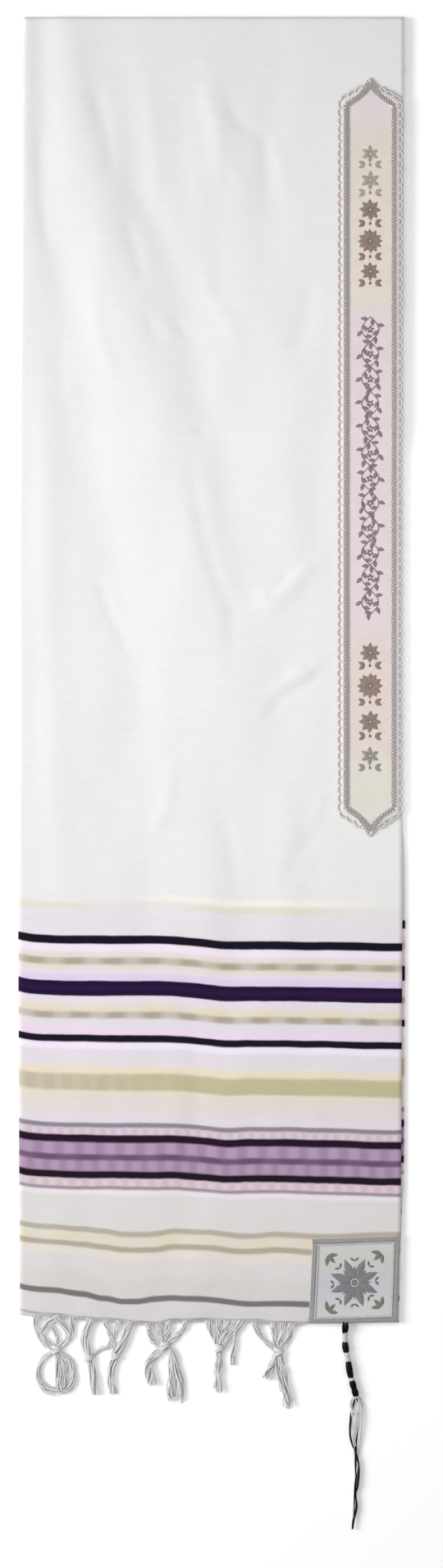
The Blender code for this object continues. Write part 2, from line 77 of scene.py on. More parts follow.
# Main folds of the front panel: x, drop, half width to the left, half width to the right and height of each
# waypoint. A trough is below zero.
MAIN_FOLDS = (
    ((-0.151, 0.009, 0.026, 0.018, 0.0012), (-0.142, 0.087, 0.032, 0.020, 0.0026),
     (-0.126, 0.182, 0.036, 0.031, 0.0034), (-0.113, 0.229, 0.034, 0.036, 0.0043),
     (-0.102, 0.286, 0.032, 0.045, 0.0041), (-0.082, 0.346, 0.045, 0.034, 0.0036),
     (-0.059, 0.416, 0.052, 0.036, 0.0034), (-0.042, 0.476, 0.056, 0.038, 0.0036),
     (-0.031, 0.537, 0.062, 0.042, 0.0038), (-0.007, 0.598, 0.070, 0.042, 0.0038),
     (0.001, 0.662, 0.064, 0.036, 0.0028), (0.028, 0.736, 0.060, 0.036, 0.0015),
     (0.043, 0.814, 0.050, 0.040, 0.0004)),
    ((-0.179, 0.009, 0.013, 0.015, -0.0022), (-0.177, 0.095, 0.013, 0.016, -0.0021),
     (-0.170, 0.225, 0.013, 0.018, -0.0016), (-0.146, 0.329, 0.020, 0.020, -0.0016),
     (-0.134, 0.442, 0.026, 0.020, -0.0018), (-0.113, 0.537, 0.030, 0.024, -0.0019),
     (-0.091, 0.641, 0.032, 0.024, -0.0018), (-0.074, 0.745, 0.032, 0.020, -0.0015),
     (-0.071, 0.918, 0.034, 0.020, -0.0012), (-0.072, 1.060, 0.034, 0.024, -0.0004)),
    ((-0.184, 0.364, 0.012, 0.014, 0.0003), (-0.177, 0.468, 0.012, 0.016, 0.0013),
     (-0.173, 0.641, 0.012, 0.018, 0.0014), (-0.168, 0.797, 0.012, 0.022, 0.0012),
     (-0.161, 0.918, 0.014, 0.024, 0.0007)),
    ((-0.090, 0.061, 0.014, 0.016, -0.0008), (-0.084, 0.173, 0.014, 0.016, -0.0012),
     (-0.038, 0.268, 0.020, 0.018, -0.0014), (-0.026, 0.312, 0.018, 0.016, -0.0014),
     (-0.012, 0.400, 0.018, 0.018, -0.0010), (0.015, 0.468, 0.018, 0.018, -0.0010),
     (0.024, 0.571, 0.018, 0.018, -0.0007), (0.040, 0.641, 0.016, 0.016, -0.0003)),
    ((-0.004, 0.052, 0.014, 0.016, 0.0008), (0.010, 0.120, 0.014, 0.018, 0.0014),
     (0.024, 0.173, 0.014, 0.016, 0.0010), (0.030, 0.234, 0.018, 0.018, 0.0004)),
    ((0.078, 0.040, 0.018, 0.016, -0.0008), (0.063, 0.110, 0.016, 0.018, -0.0015),
     (0.062, 0.190, 0.016, 0.018, -0.0013), (0.056, 0.242, 0.018, 0.020, -0.0005)),
    ((0.033, 0.294, 0.026, 0.020, 0.0004), (0.062, 0.320, 0.030, 0.020, 0.0010),
     (0.084, 0.390, 0.034, 0.020, 0.0014), (0.076, 0.450, 0.032, 0.020, 0.0014),
     (0.078, 0.500, 0.030, 0.020, 0.0013), (0.090, 0.554, 0.026, 0.018, 0.0012)),
    ((-0.008, 0.797, 0.030, 0.018, 0.0004), (-0.008, 0.866, 0.030, 0.018, 0.0013),
     (-0.006, 0.935, 0.030, 0.020, 0.0012), (-0.004, 1.040, 0.030, 0.020, 0.0004)),
    ((0.074, 0.814, 0.022, 0.016, 0.0004), (0.084, 0.875, 0.022, 0.016, 0.0012),
     (0.080, 0.935, 0.022, 0.016, 0.0012), (0.078, 1.040, 0.024, 0.018, 0.0004)),
)
# Smaller folds and creases: half width, height, x and drop of each waypoint
FOLDS = (
    (0.011, 0.0020, ((0.046, 0.625), (0.082, 0.604), (0.108, 0.571))),
    (0.009, 0.0015, ((0.062, 0.716), (0.084, 0.700), (0.106, 0.684))),
    # Upper part
    (0.009, 0.0007, ((-0.069, 0.065), (-0.061, 0.130), (-0.057, 0.204))),
    (0.010, -0.0005, ((-0.038, 0.074), (-0.031, 0.147), (-0.023, 0.234))),
    (0.009, 0.0008, ((-0.011, 0.065), (0.003, 0.113), (0.007, 0.178))),
    (0.007, -0.0008, ((0.012, 0.069), (0.028, 0.113), (0.055, 0.130), (0.059, 0.191))),
    (0.007, 0.0006, ((0.069, 0.134), (0.080, 0.195))),
    (0.006, -0.0005, ((0.015, 0.160), (0.023, 0.186))),
    (0.008, -0.0010, ((-0.126, 0.074), (-0.110, 0.126), (-0.105, 0.169))),
    (0.008, -0.0010, ((-0.092, 0.212), (-0.071, 0.281))),
    (0.006, -0.0006, ((-0.069, 0.316), (-0.059, 0.342))),
    (0.0045, 0.0005, ((-0.054, 0.319), (-0.040, 0.339))),
    (0.0045, -0.0006, ((-0.038, 0.319), (-0.025, 0.340))),
    (0.009, 0.0008, ((-0.126, 0.286), (-0.121, 0.329), (-0.102, 0.390))),
    (0.007, -0.0009, ((-0.182, 0.113), (-0.180, 0.191), (-0.173, 0.253))),
    (0.008, 0.0006, ((-0.007, 0.251), (-0.003, 0.294), (0.023, 0.329), (0.026, 0.355))),
    (0.009, -0.0007, ((0.106, 0.281), (0.099, 0.329), (0.084, 0.355))),
    # Middle part
    (0.009, -0.0006, ((-0.161, 0.329), (-0.158, 0.390), (-0.147, 0.468))),
    (0.005, -0.0008, ((-0.016, 0.433), (-0.007, 0.443))),
    (0.005, -0.0003, ((-0.020, 0.418), (0.028, 0.418))),
    (0.008, -0.0010, ((-0.023, 0.468), (-0.011, 0.537), (0.003, 0.589), (0.020, 0.624), (0.023, 0.688))),
    (0.006, -0.0008, ((-0.121, 0.589), (-0.108, 0.628), (-0.101, 0.641), (-0.087, 0.675))),
    (0.006, 0.0005, ((-0.081, 0.658), (-0.063, 0.650))),
    (0.005, -0.0010, ((0.111, 0.565), (0.080, 0.589), (0.055, 0.622))),
    (0.005, 0.0009, ((0.121, 0.682), (0.099, 0.695), (0.078, 0.703))),
    (0.006, -0.0010, ((0.123, 0.691), (0.097, 0.708), (0.075, 0.717), (0.058, 0.743))),
    # Lower part, down to the stripes
    (0.016, -0.0006, ((-0.141, 0.810), (-0.111, 0.827), (-0.085, 0.857))),
    (0.010, -0.0005, ((-0.154, 0.849), (-0.128, 0.875))),
    (0.007, 0.0009, ((-0.042, 0.788), (-0.047, 0.831), (-0.063, 0.866))),
    (0.009, -0.0008, ((0.009, 0.840), (0.021, 0.875), (0.026, 0.914))),
    (0.009, -0.0007, ((0.110, 0.857), (0.088, 0.883), (0.080, 0.914))),
    (0.006, 0.0007, ((0.121, 0.810), (0.114, 0.836), (0.099, 0.853))),
    # Among the stripes and above the hem
    (0.012, -0.0007, ((-0.026, 0.953), (-0.019, 1.109), (-0.016, 1.264))),
    (0.020, 0.0006, ((-0.085, 0.961), (-0.094, 1.195))),
    (0.024, 0.0005, ((0.062, 0.961), (0.067, 1.238))),
    (0.009, -0.0008, ((-0.171, 1.308), (-0.120, 1.327), (-0.094, 1.347))),
    (0.006, 0.0007, ((-0.141, 1.358), (-0.111, 1.367))),
    (0.007, -0.0007, ((-0.016, 1.345), (0.009, 1.334))),
    (0.006, 0.0006, ((-0.050, 1.361), (0.002, 1.360))),
)
# Slow unevenness of cloth that lies flat: wave lengths across and down, phase, height
RIPPLES = ((0.083, 0.410, 0.4, 0.00018), (0.140, 0.190, 2.1, 0.00020), (0.052, 0.270, 4.0, 0.00010))

# How far the woven lines dip below their place: a row for each of DIP_DROPS, a column for each of DIP_X
DIP_X = (-0.206, -0.165, -0.137, -0.115, -0.093, -0.080, -0.059, -0.037, 0.006, 0.040, 0.070, 0.110, 0.200)
DIP_DROPS = (0.960, 1.235, 1.280, 1.347, 1.371)
DIPS = np.array((
    (0.0000, 0.0000, 0.0000, 0.0000, 0.0000, 0.0000, 0.0000, 0.0004, -0.0004, -0.0020, -0.0018, -0.0012, 0.0),
    (0.0000, 0.0000, 0.0003, 0.0006, 0.0008, 0.0008, 0.0008, 0.0006, -0.0010, -0.0034, -0.0034, -0.0024, 0.0),
    (0.0000, 0.0003, 0.0020, 0.0045, 0.0078, 0.0080, 0.0075, 0.0040, 0.0006, 0.0014, -0.0006, 0.0024, 0.0),
    (0.0000, 0.0000, 0.0038, 0.0085, 0.0118, 0.0116, 0.0088, 0.0076, 0.0046, 0.0064, 0.0058, 0.0072, 0.0),
    (0.0000, 0.0008, 0.0034, 0.0050, 0.0062, 0.0080, 0.0092, 0.0052, 0.0000, -0.0022, 0.0004, 0.0010, 0.0),
))
EDGE_LIFT = 0.0048  # how much higher the woven lines run round the left fold
EDGE_LIFT_REACH = 0.017
BACK_SKEW = 0.024  # how much higher the back layer's woven lines lie at its right edge

# The shell's lattice
LATTICE = 0.0040
LEFT_STEPS = 10
TOP_ANGLES = (90, 81, 72, 63, 54, 45, 36, 27, 18, 9)
RIM_ROUNDING = 0.0004
HIDDEN_LATTICE = 0.0080
HIDDEN_DROP = 0.0005  # the hidden layers lie this much lower away from their edges
HIDDEN_DROP_REACH = 0.020
BOTTOM_STEPS = 24
BOTTOM_INSET = 0.0040
LIP_STEPS = 14
LAYER_STEPS = 7
FAR_HEM_GROOVE = 0.0007

# What peeks out at the right edge: drop, how far the layer below the front reaches past it
PEEK = np.array((
    (0.000, -0.0004),
    (0.850, 0.0006),
    (0.890, 0.0035),
    (1.228, 0.0034),
    (1.262, 0.0012),
    (1.371, -0.0006),
))
LAYER_SHIFT = (0.0, -0.0011, 0.0002)  # of each layer's right edge, from the top
LAYER_NOTCH = (0.0014, 0.00021)  # depth of the notches between the layers, where there are four and two
LAYER_ROUND = 0.999  # leaves a little of the notches open
HIDDEN_HEM = 0.0036  # how far the hidden layers end above the front panel's hem

# Neckband and its braid
NECKBAND_X = 0.1671
NECKBAND_HALF = 0.0320
NECKBAND_TIPS = (0.0660, 0.8630)
NECKBAND_END = np.array((  # distance from the tip, share of the full width
    (0.0000, 0.03),
    (0.0080, 0.26),
    (0.0140, 0.48),
    (0.0175, 0.70),
    (0.0215, 0.94),
    (0.0235, 1.00),
))
BAND_WALL = 0.0010
BAND_TOP = -GAP - BAND_WALL  # depth of its upper face, and of the patch's
BAND_COLUMNS = 17
BAND_ROWS = 152
BAND_END_ROWS = 14
TRIM_TIP = 0.9  # how far a ring's tip moves in for each step of its sides
BRAID_SPAN = (0.0006, 0.0096)  # how far the braid's base lies inside the band's edge
BRAID_PROFILE = ((0, 0), (0.04, 0.0006), (0.5, 0.0008), (0.96, 0.0006), (1, 0))  # share of its width, rise
BRAID_RIB = 0.0024  # how far apart the loops of its base are in its UV map
BRAID_LINE = 0.0067  # inset of its dark middle
BRAID_PITCH = 0.0017
PLAIT_LEAN = 48  # degrees
PLAIT_STITCH = (0.0074, 0.0016, 0.0007)  # length, width, height
PLAIT_TIP_GROWTH = 0.45
PLAIT_TIP_REACH = (0.008, 0.018)
PLAIT_RISE = 0.0007
PICOT_INSET = 0.0012
PICOT_PITCH = 0.0087
PICOT_REACH = 0.0032
PICOT_HALF = 0.52  # half the width of a picot, as a share of the pitch
PICOT_UNEVENNESS = 0.12
PICOT_WAVE = 2.4  # radians from one picot's unevenness to the next one's
PICOT_FULLNESS = 0.6  # below 1, a picot is rounder than an arch
PICOT_RISE = 0.0005
PICOT_STAGGER = 0.0003
PICOT_RADIUS = 0.0009
PICOT_STEPS = 9

# Embroidery on the neckband
VINE_DROPS = (0.318, 0.632)
VINE_PITCH = 0.0523
VINE_SWAY = 0.0090
VINE_STEPS = 125
STEM_RADIUS = 0.0005
STEM_RISE = 0.0002  # how far apart in height the two stems are kept, on each side of the middle
VINE_LEAF_START = 0.002
VINE_LEAF_PITCH = 0.0062
VINE_LEAF_TURN = 48  # degrees from the stem
VINE_LEAF = (0.0082, 0.0044)  # length and width, as in the other leaves
VINE_FLOWER = (5, 0.0040, 0.0028)  # petals, their length and width
VINE_FLOWER_TURN = 36  # degrees from one to the next
LEAF_HEIGHT = 0.0006
# Flowers of the neckband, by their thread: drop, petals, size
NECKBAND_FLOWERS = {
    "sand": ((0.146, 6, 0.0078), (0.174, 6, 0.0088)),
    "brown": ((0.205, 8, 0.0098), (0.238, 12, 0.0112), (0.270, 8, 0.0084), (0.672, 8, 0.0092),
              (0.707, 12, 0.0118), (0.745, 8, 0.0102)),
    "sage": ((0.781, 6, 0.0084),),
}
PETAL = (1.08, 0.58)  # length and width, as shares of the flower's size
STAMEN = (0.45, 0.18)
PETAL_START = 0.0012
FOOT = 1.45  # how far below a flower its leaves are, as a share of its size
FOOT_X = 0.0050
FOOT_TURN = 62  # degrees from the vertical
FOOT_LEAF = (0.0084, 0.0044)
BUD_DROP = 0.0022
BUD = (0.0044, 0.0030)

# Corner patch
PATCH_CORNERS = np.array(((0.1065, 1.2806), (0.1983, 1.2806), (0.1958, 1.3705), (0.1026, 1.3705)))
PATCH_SATIN = 0.0050  # width of the border's grey satin
PATCH_PALE = 0.0020  # width of the pale row inside it
PATCH_STITCH_PITCH = 0.00062
PATCH_STITCH = (0.00085, 0.0007)  # width and height
PATCH_STITCH_RISE = 0.0002
PATCH_STEPS = 15
# Rings of petals: their number, length and width, the first one's turn, and their distance from the centre
PATCH_FLOWER = ((8, 0.0235, 0.0088, 22.5, 0.0035), (8, 0.0030, 0.0022, 0.0, 0.0006))
PATCH_STAMENS = (8, 0.0150, 0.0040, 0.0, 0.0030)
CORNER_SPRIG = (0.0285, 0.0280)  # x and drop from the patch's centre
CORNER_SPRIG_TURNS = (128, 180, 232)
CORNER_SPRIG_LEAF = (0.0115, 0.0046)
RING_SPRIGS = 8
RING_SPRIG_REACH = 0.0215
RING_SPRIG_TURNS = (-50, 50)
RING_SPRIG_LEAF = (0.0062, 0.0026)

# Templates of a leaf and a stitch
LEAF_GRID = (9, 5)  # rows and columns
LEAF_FULLNESS = 0.85  # below 1, a leaf is widest nearer to its foot
STITCH_GRID = (7, 6)
STITCH_ENDS = (1.94, 0.98)  # how far out a stitch keeps its width, and how round its ends are
TAPER_FROM = 0.86  # share of a yarn's length at which it starts to get thinner

# Fringe
FRINGE_X = (-0.190, 0.094)
YARN_RADIUS = 0.00078
LANDING = 0.015  # how far past the hem the yarns reach the surface
# Locks: number of yarns, and x and beyond of the waypoints
LOCKS = (
    (9, ((-0.1853, 0.000), (-0.1845, 0.016), (-0.1775, 0.029), (-0.1654, 0.036))),
    (9, ((-0.1490, 0.000), (-0.1490, 0.016), (-0.1550, 0.028), (-0.1654, 0.036))),
    (8, ((-0.1680, 0.000), (-0.1560, 0.011), (-0.1520, 0.022), (-0.1628, 0.036))),
    (8, ((-0.1611, 0.000), (-0.1740, 0.011), (-0.1790, 0.022), (-0.1665, 0.036))),
    (6, ((-0.1760, 0.000), (-0.1690, 0.013), (-0.1640, 0.024), (-0.1645, 0.036))),
    (10, ((-0.1671, 0.038), (-0.1800, 0.049), (-0.1836, 0.064), (-0.1749, 0.077), (-0.1628, 0.081))),
    (10, ((-0.1611, 0.038), (-0.1481, 0.048), (-0.1464, 0.063), (-0.1516, 0.075), (-0.1619, 0.081))),
    (9, ((-0.1637, 0.038), (-0.1628, 0.052), (-0.1619, 0.068), (-0.1611, 0.080))),
    (8, ((-0.1619, 0.038), (-0.1550, 0.052), (-0.1555, 0.066), (-0.1590, 0.079))),
    (16, ((-0.1277, 0.000), (-0.1335, 0.022), (-0.1296, 0.042), (-0.1250, 0.063), (-0.1225, 0.080))),
    (14, ((-0.0866, 0.000), (-0.0935, 0.022), (-0.1045, 0.045), (-0.1061, 0.063), (-0.1031, 0.078))),
    (7, ((-0.1126, 0.000), (-0.1091, 0.012), (-0.1035, 0.026), (-0.1020, 0.038))),
    (6, ((-0.0990, 0.000), (-0.1020, 0.014), (-0.1090, 0.028), (-0.1180, 0.032), (-0.1265, 0.041))),
    (8, ((-0.0675, 0.000), (-0.0645, 0.012), (-0.0600, 0.021), (-0.0520, 0.026))),
    (8, ((-0.0565, 0.000), (-0.0540, 0.010), (-0.0504, 0.024))),
    (7, ((-0.0450, 0.000), (-0.0455, 0.010), (-0.0476, 0.024))),
    (7, ((-0.0275, 0.000), (-0.0340, 0.014), (-0.0460, 0.026))),
    (18, ((-0.0511, 0.027), (-0.0600, 0.035), (-0.0660, 0.044), (-0.0655, 0.055), (-0.0638, 0.066))),
    (10, ((-0.0480, 0.027), (-0.0433, 0.038), (-0.0418, 0.052), (-0.0428, 0.070), (-0.0424, 0.087))),
    (10, ((-0.0460, 0.027), (-0.0395, 0.040), (-0.0350, 0.056), (-0.0338, 0.070), (-0.0338, 0.088))),
    (8, ((-0.0035, 0.000), (0.0005, 0.015), (0.0055, 0.028))),
    (8, ((0.0069, 0.000), (0.0078, 0.012), (0.0078, 0.028))),
    (8, ((0.0160, 0.000), (0.0130, 0.012), (0.0095, 0.028))),
    (7, ((0.0250, 0.000), (0.0205, 0.014), (0.0113, 0.029))),
    (14, ((0.0085, 0.031), (0.0074, 0.045), (0.0061, 0.058), (0.0074, 0.077))),
    (6, ((0.0310, 0.000), (0.0250, 0.014), (0.0225, 0.030), (0.0217, 0.047))),
    (7, ((0.0442, 0.000), (0.0480, 0.010), (0.0545, 0.020), (0.0670, 0.029))),
    (8, ((0.0640, 0.000), (0.0660, 0.013), (0.0690, 0.029))),
    (9, ((0.0740, 0.000), (0.0735, 0.013), (0.0712, 0.029))),
    (8, ((0.0850, 0.000), (0.0820, 0.013), (0.0735, 0.030))),
    (11, ((0.0685, 0.032), (0.0645, 0.042), (0.0605, 0.052), (0.0575, 0.061))),
    (11, ((0.0702, 0.034), (0.0690, 0.048), (0.0735, 0.063), (0.0775, 0.077))),
    (11, ((0.0725, 0.034), (0.0745, 0.050), (0.0785, 0.070), (0.0812, 0.091))),
)
LOCK_SPREAD = 0.0026  # radius of a lock of six yarns
LOCK_STEPS = 9
LOCK_TWIST = (1.5, 3.5)  # least and most turn of the yarns round each other, in radians
LOCK_FILL = (0.12, 1.15)  # least and most share of a lock's section inside a yarn
LOCK_RISE = 0.55  # height of a lock as a share of its width
LOCK_RISE_START = -0.01  # how far past the hem it starts to get its height
LOCK_TAPER = 0.6
HEM_GATHER = (1.0, -0.35)  # width of a lock from the hem, and how much it grows to its knot
END_GATHER = (0.72, 0.40)  # width of a lock from its knot, and how much it grows to its end
YARN_WANDER = 0.0009  # how far a yarn waves from side to side
WANDER_START = 0.15  # share of its length after which it does so in full
YARN_WAVES = (1.5, 4.0)  # least and most half waves along it
YARN_STRAY = 0.0014  # how far its end strays
YARN_LENGTHS = (0.88, 1.0)
YARN_START = STACK_TWO - 0.0012  # height at the hem
FLOOR_GAP = 0.0002
FIBRE_RADIUS = 0.00011
FIBRES_PER_YARN = 2
FIBRE_FROM = 4  # a fibre starts no nearer to the hem than a fourth of its yarn's points
FIBRE_STEPS = 6
FIBRE_LENGTHS = (0.003, 0.008)
FIBRE_BOWS = (0.0008, 0.0030)
FIBRE_RISE = 0.0006
FIBRE_WAVE = 3  # radians
HEM_LOOP_PITCH = 0.0026
HEM_LOOP_RADIUS = 0.0006
HEM_LOOP = (  # x from its place, beyond and height
    (0, -0.0014, 0.0046), (0.0004, 0.0012, 0.0042), (0.0013, 0.0026, 0.0032), (0.0022, 0.0012, 0.0026),
)
# Knots: x, beyond
FRINGE_KNOTS = (
    (-0.1637, 0.0364), (-0.1300, 0.0420), (-0.1020, 0.0385), (-0.0494, 0.0255), (0.0080, 0.0300),
    (0.0708, 0.0315),
)
KNOT_HALF_WIDTH = 0.0042
KNOT_HALF_HEIGHT = 0.0024
KNOT_TURNS = 2.1
KNOT_LENGTH = 0.0034
KNOT_STEPS = 14  # in a turn
KNOT_RISE = 0.0012
KNOT_RADIUS = 0.0011
KNOT_WINDS = ((-0.0014, 0.35), (0.0016, -0.35))  # shift past the hem and lean of a knot's two windings

# Corner tassel: x and beyond of the wound cord's waypoints
TASSEL_ROUTE = (
    (0.1414, -0.0012), (0.1412, 0.0016), (0.1407, 0.0135), (0.1412, 0.0250), (0.1442, 0.0410),
    (0.1464, 0.0550), (0.1496, 0.0670), (0.1530, 0.0790),
)
TASSEL_STEPS = 40  # between two waypoints
TASSEL_START = STACK_TWO + GAP + BAND_WALL + 0.0012  # height at the patch
TASSEL_FLOOR_GAP = 0.0003
TASSEL_LANDING = (-0.002, LANDING)  # where the cord starts to come down, and where it lies on the surface
CORE_RADIUS = 0.0020
WINDING_RADIUS = 0.0024
WINDING_YARN = 0.00060
WINDING_PITCH = 2.05 * WINDING_YARN
WINDING_STEPS = 12  # in a turn
# Wound parts: from, to, swellings
WINDINGS = ((-0.0010, 0.0100, 1), (0.0205, 0.0315, 1), (0.0412, 0.0580, 1), (0.0615, 0.0776, 2))
SWELLING = 0.0007
TASSEL_KNOTS = (0.0130, 0.0175, 0.0345, 0.0388, 0.0600, 0.0795)
TASSEL_KNOT_HALF = 0.0013
TASSEL_KNOT_RADIUS = 0.0028
TASSEL_KNOT_YARN = 0.0008
TASSEL_KNOT_PITCH = 0.0014
# Loose threads of the tassel: x and beyond of their waypoints. A dark one has first how far beyond the hem it
# comes up from under the light ones.
DARK_THREADS = (
    (0.094, ((0.1515, 0.079), (0.1492, 0.088), (0.1472, 0.098), (0.1462, 0.110), (0.1465, 0.120),
             (0.1485, 0.128), (0.1515, 0.136), (0.1544, 0.146), (0.1555, 0.158), (0.1541, 0.173),
             (0.1519, 0.181), (0.1531, 0.195), (0.1503, 0.207), (0.1487, 0.218))),
    (0.126, ((0.1530, 0.079), (0.1557, 0.094), (0.1552, 0.112), (0.1524, 0.130), (0.1518, 0.146),
             (0.1524, 0.160), (0.1512, 0.178), (0.1506, 0.200), (0.1489, 0.214))),
)
LIGHT_THREADS = (
    ((0.1507, 0.079), (0.1484, 0.088), (0.1484, 0.104), (0.1496, 0.126), (0.1515, 0.150), (0.1524, 0.176),
     (0.1498, 0.195), (0.1502, 0.211)),
    ((0.1541, 0.079), (0.1580, 0.090), (0.1576, 0.110), (0.1558, 0.131), (0.1533, 0.154), (0.1515, 0.178),
     (0.1507, 0.201)),
    ((0.1550, 0.079), (0.1560, 0.094), (0.1556, 0.112), (0.1541, 0.133), (0.1541, 0.150), (0.1515, 0.167),
     (0.1524, 0.188)),
    ((0.1535, 0.078), (0.1486, 0.080), (0.1464, 0.0865), (0.1486, 0.0930), (0.1530, 0.0950),
     (0.1574, 0.0930), (0.1592, 0.0865), (0.1570, 0.0800), (0.1530, 0.0780)),
    ((0.1515, 0.079), (0.1545, 0.090), (0.1516, 0.104), (0.1504, 0.120), (0.1535, 0.142), (0.1545, 0.165),
     (0.1505, 0.190), (0.1492, 0.206)),
)
THREAD_RADIUS = 0.0011
THREAD_STEPS = 10
THREAD_START = 0.0032  # height at the last knot
THREAD_LANDING = 0.12  # share of its length over which it comes down
THREAD_TAPER = 0.3
DARK_THREAD_RISE = 0.0026  # the dark threads come up from under the light ones by this much
DARK_THREAD_REACH = 0.010
LIGHT_THREAD_GAP = 0.0004
LIGHT_THREAD_RISE = 0.0011  # half of how far they rise where they lie over each other
LIGHT_THREAD_WAVES = (9, 1.9)  # radians along a thread, and from one thread to the next

# Woven stripes: name, distance from the hem, half width, softness, colour, repeat along the stripe (0 for
# none), least strength between the repeats, share of metal thread
STRIPES = (
    ("mauve cast", 0.2850, 0.1500, 0.0160, (224, 216, 223), 0, 1, 0),
    ("greyer cloth", 0.0560, 0.0780, 0.0090, (221, 217, 216), 0, 1, 0),
    ("greyest cloth", 0.0350, 0.0130, 0.0090, (216, 212, 210), 0, 1, 0),
    ("hem", 0.0080, 0.0100, 0.0030, (219, 215, 214), 0, 1, 0),
    ("pale line", 0.4405, 0.0032, 0.0020, (235, 232, 224), 0.390, 0.20, 0),
    ("beige line", 0.4325, 0.0034, 0.0018, (222, 217, 202), 0.260, 0.35, 0.1),
    ("near black", 0.3961, 0.0045, 0.0009, (10, 0, 24), 0, 1, 0),
    ("lilac", 0.3868, 0.0040, 0.0020, (234, 222, 236), 0, 1, 0),
    ("beige", 0.3735, 0.0088, 0.0040, (222, 213, 202), 0.090, 0.70, 0),
    ("taupe dashes", 0.3737, 0.0036, 0.0020, (172, 165, 148), 0.041, 0.60, 0.3),
    ("lilac", 0.3565, 0.0038, 0.0018, (220, 203, 230), 0, 1, 0),
    ("deep purple", 0.3449, 0.0080, 0.0009, (24, 0, 48), 0, 1, 0),
    ("plum middle", 0.3452, 0.0026, 0.0016, (38, 8, 60), 0, 1, 0),
    ("cream", 0.3225, 0.0052, 0.0026, (224, 214, 192), 0.060, 0.65, 0.1),
    ("taupe dashes", 0.3168, 0.0036, 0.0020, (176, 165, 150), 0.038, 0.58, 0.3),
    ("lilac", 0.3000, 0.0040, 0.0020, (230, 212, 232), 0, 1, 0),
    ("near black", 0.2919, 0.0039, 0.0009, (14, 4, 24), 0, 1, 0),
    ("lilac", 0.2842, 0.0034, 0.0018, (238, 226, 242), 0, 1, 0),
    ("warm cast", 0.2270, 0.0130, 0.0080, (223, 215, 210), 0, 1, 0),
    ("cream", 0.2480, 0.0152, 0.0042, (229, 219, 197), 0, 1, 0.1),
    ("gold", 0.2462, 0.0086, 0.0026, (194, 184, 164), 0.019, 0.82, 0.4),
    ("olive gold", 0.2462, 0.0080, 0.0026, (193, 187, 150), 0.800, 0.00, 0.4),
    ("grey line", 0.2005, 0.0027, 0.0012, (142, 134, 144), 0, 1, 0),
    ("pink", 0.1942, 0.0042, 0.0014, (208, 186, 203), 0.0112, 0.55, 0),
    ("lilac ground", 0.1675, 0.0190, 0.0006, (145, 118, 149), 0, 1, 0),
    ("lilac blocks", 0.1757, 0.0064, 0.0018, (178, 152, 182), 0.0215, 0.45, 0),
    ("lilac blocks", 0.1585, 0.0060, 0.0018, (176, 150, 177), 0.0172, 0.50, 0),
    ("darker middle", 0.1668, 0.0032, 0.0018, (105, 79, 110), 0.0430, 0.80, 0),
    ("near black", 0.1866, 0.0040, 0.0012, (32, 4, 30), 0, 1, 0),
    ("near black", 0.1480, 0.0040, 0.0012, (26, 6, 24), 0, 1, 0),
    ("pink", 0.1400, 0.0044, 0.0014, (212, 187, 199), 0.0140, 0.55, 0),
    ("mauve line", 0.1340, 0.0022, 0.0012, (160, 142, 154), 0, 1, 0),
    ("lilac", 0.1300, 0.0026, 0.0018, (232, 226, 232), 0, 1, 0),
    ("khaki line", 0.0925, 0.0030, 0.0014, (186, 178, 164), 0, 1, 0.3),
    ("pale yellow", 0.0846, 0.0050, 0.0020, (227, 218, 196), 0.052, 0.60, 0.1),
    ("khaki line", 0.0766, 0.0030, 0.0014, (184, 174, 154), 0, 1, 0.3),
    ("pale peach", 0.0694, 0.0044, 0.0020, (230, 222, 212), 0.070, 0.60, 0),
    ("grey line", 0.0257, 0.0031, 0.0012, (122, 117, 118), 0, 1, 0),
    # The line along the hem is partly the hem's thread and partly painted shade at the hem's edge
    ("hem thread and painted shade", 0.0010, 0.0012, 0.0008, (176, 173, 173), 0.030, 0.60, 0),
)
STRIPE_PHASE = 40.0  # how many of its repeats a stripe is shifted by for each metre from the hem
STRIPE_WANDER = 0.0022  # how far the stripes wander from straight, from one side to the other
STRIPE_TOOTH = 0.0005  # how far the threads at a stripe's edge reach past it
SLUB_SHIFT = 0.0004  # how far an uneven thread moves its neighbours
STREAKS = (0.2, 1.0, 1.0)  # stretches the uneven dye along the weft

# Finishes
CLOTH_COLOUR = (226, 226, 225)
CLOTH_ROUGHNESS = 0.85
GOLD_ROUGHNESS = 0.42
GOLD_METAL = 0.5
SATIN_ROUGHNESS = 0.62
YARN_ROUGHNESS = 0.9
SHEEN_ROUGHNESS = 0.6
WEAVE_RELIEF = 0.00016
SATIN_RELIEF = 0.00012
STITCH_RELIEF = 0.00015
# Threads: colour, stitches across a motif, roughness
THREADS = {
    "plait": ((170, 161, 159), 60.0, 0.7),
    "lilac": ((150, 122, 136), 60.0, 0.6),
    "sand": ((178, 164, 150), 60.0, 0.6),
    "brown": ((146, 126, 116), 60.0, 0.6),
    "sage": ((152, 152, 144), 60.0, 0.6),
    "slate": ((128, 128, 134), 60.0, 0.6),
    "moss": ((126, 128, 118), 60.0, 0.6),
    "border": ((158, 156, 156), 3.0, 0.6),
    "pale": ((196, 194, 194), 3.0, 0.6),
}
# Yarns: colour, twists in a metre, sheen, depth of the twist's relief
YARNS = {
    "picot": ((214, 207, 205), 500.0, 0.30, 0.00012),
    "fringe": ((218, 218, 217), 260.0, 0.30, 0.00008),
    "tassel light": ((213, 212, 213), 380.0, 0.30, 0.00012),
    "tassel dark": ((7, 5, 9), 500.0, 0.03, 0.00012),
}
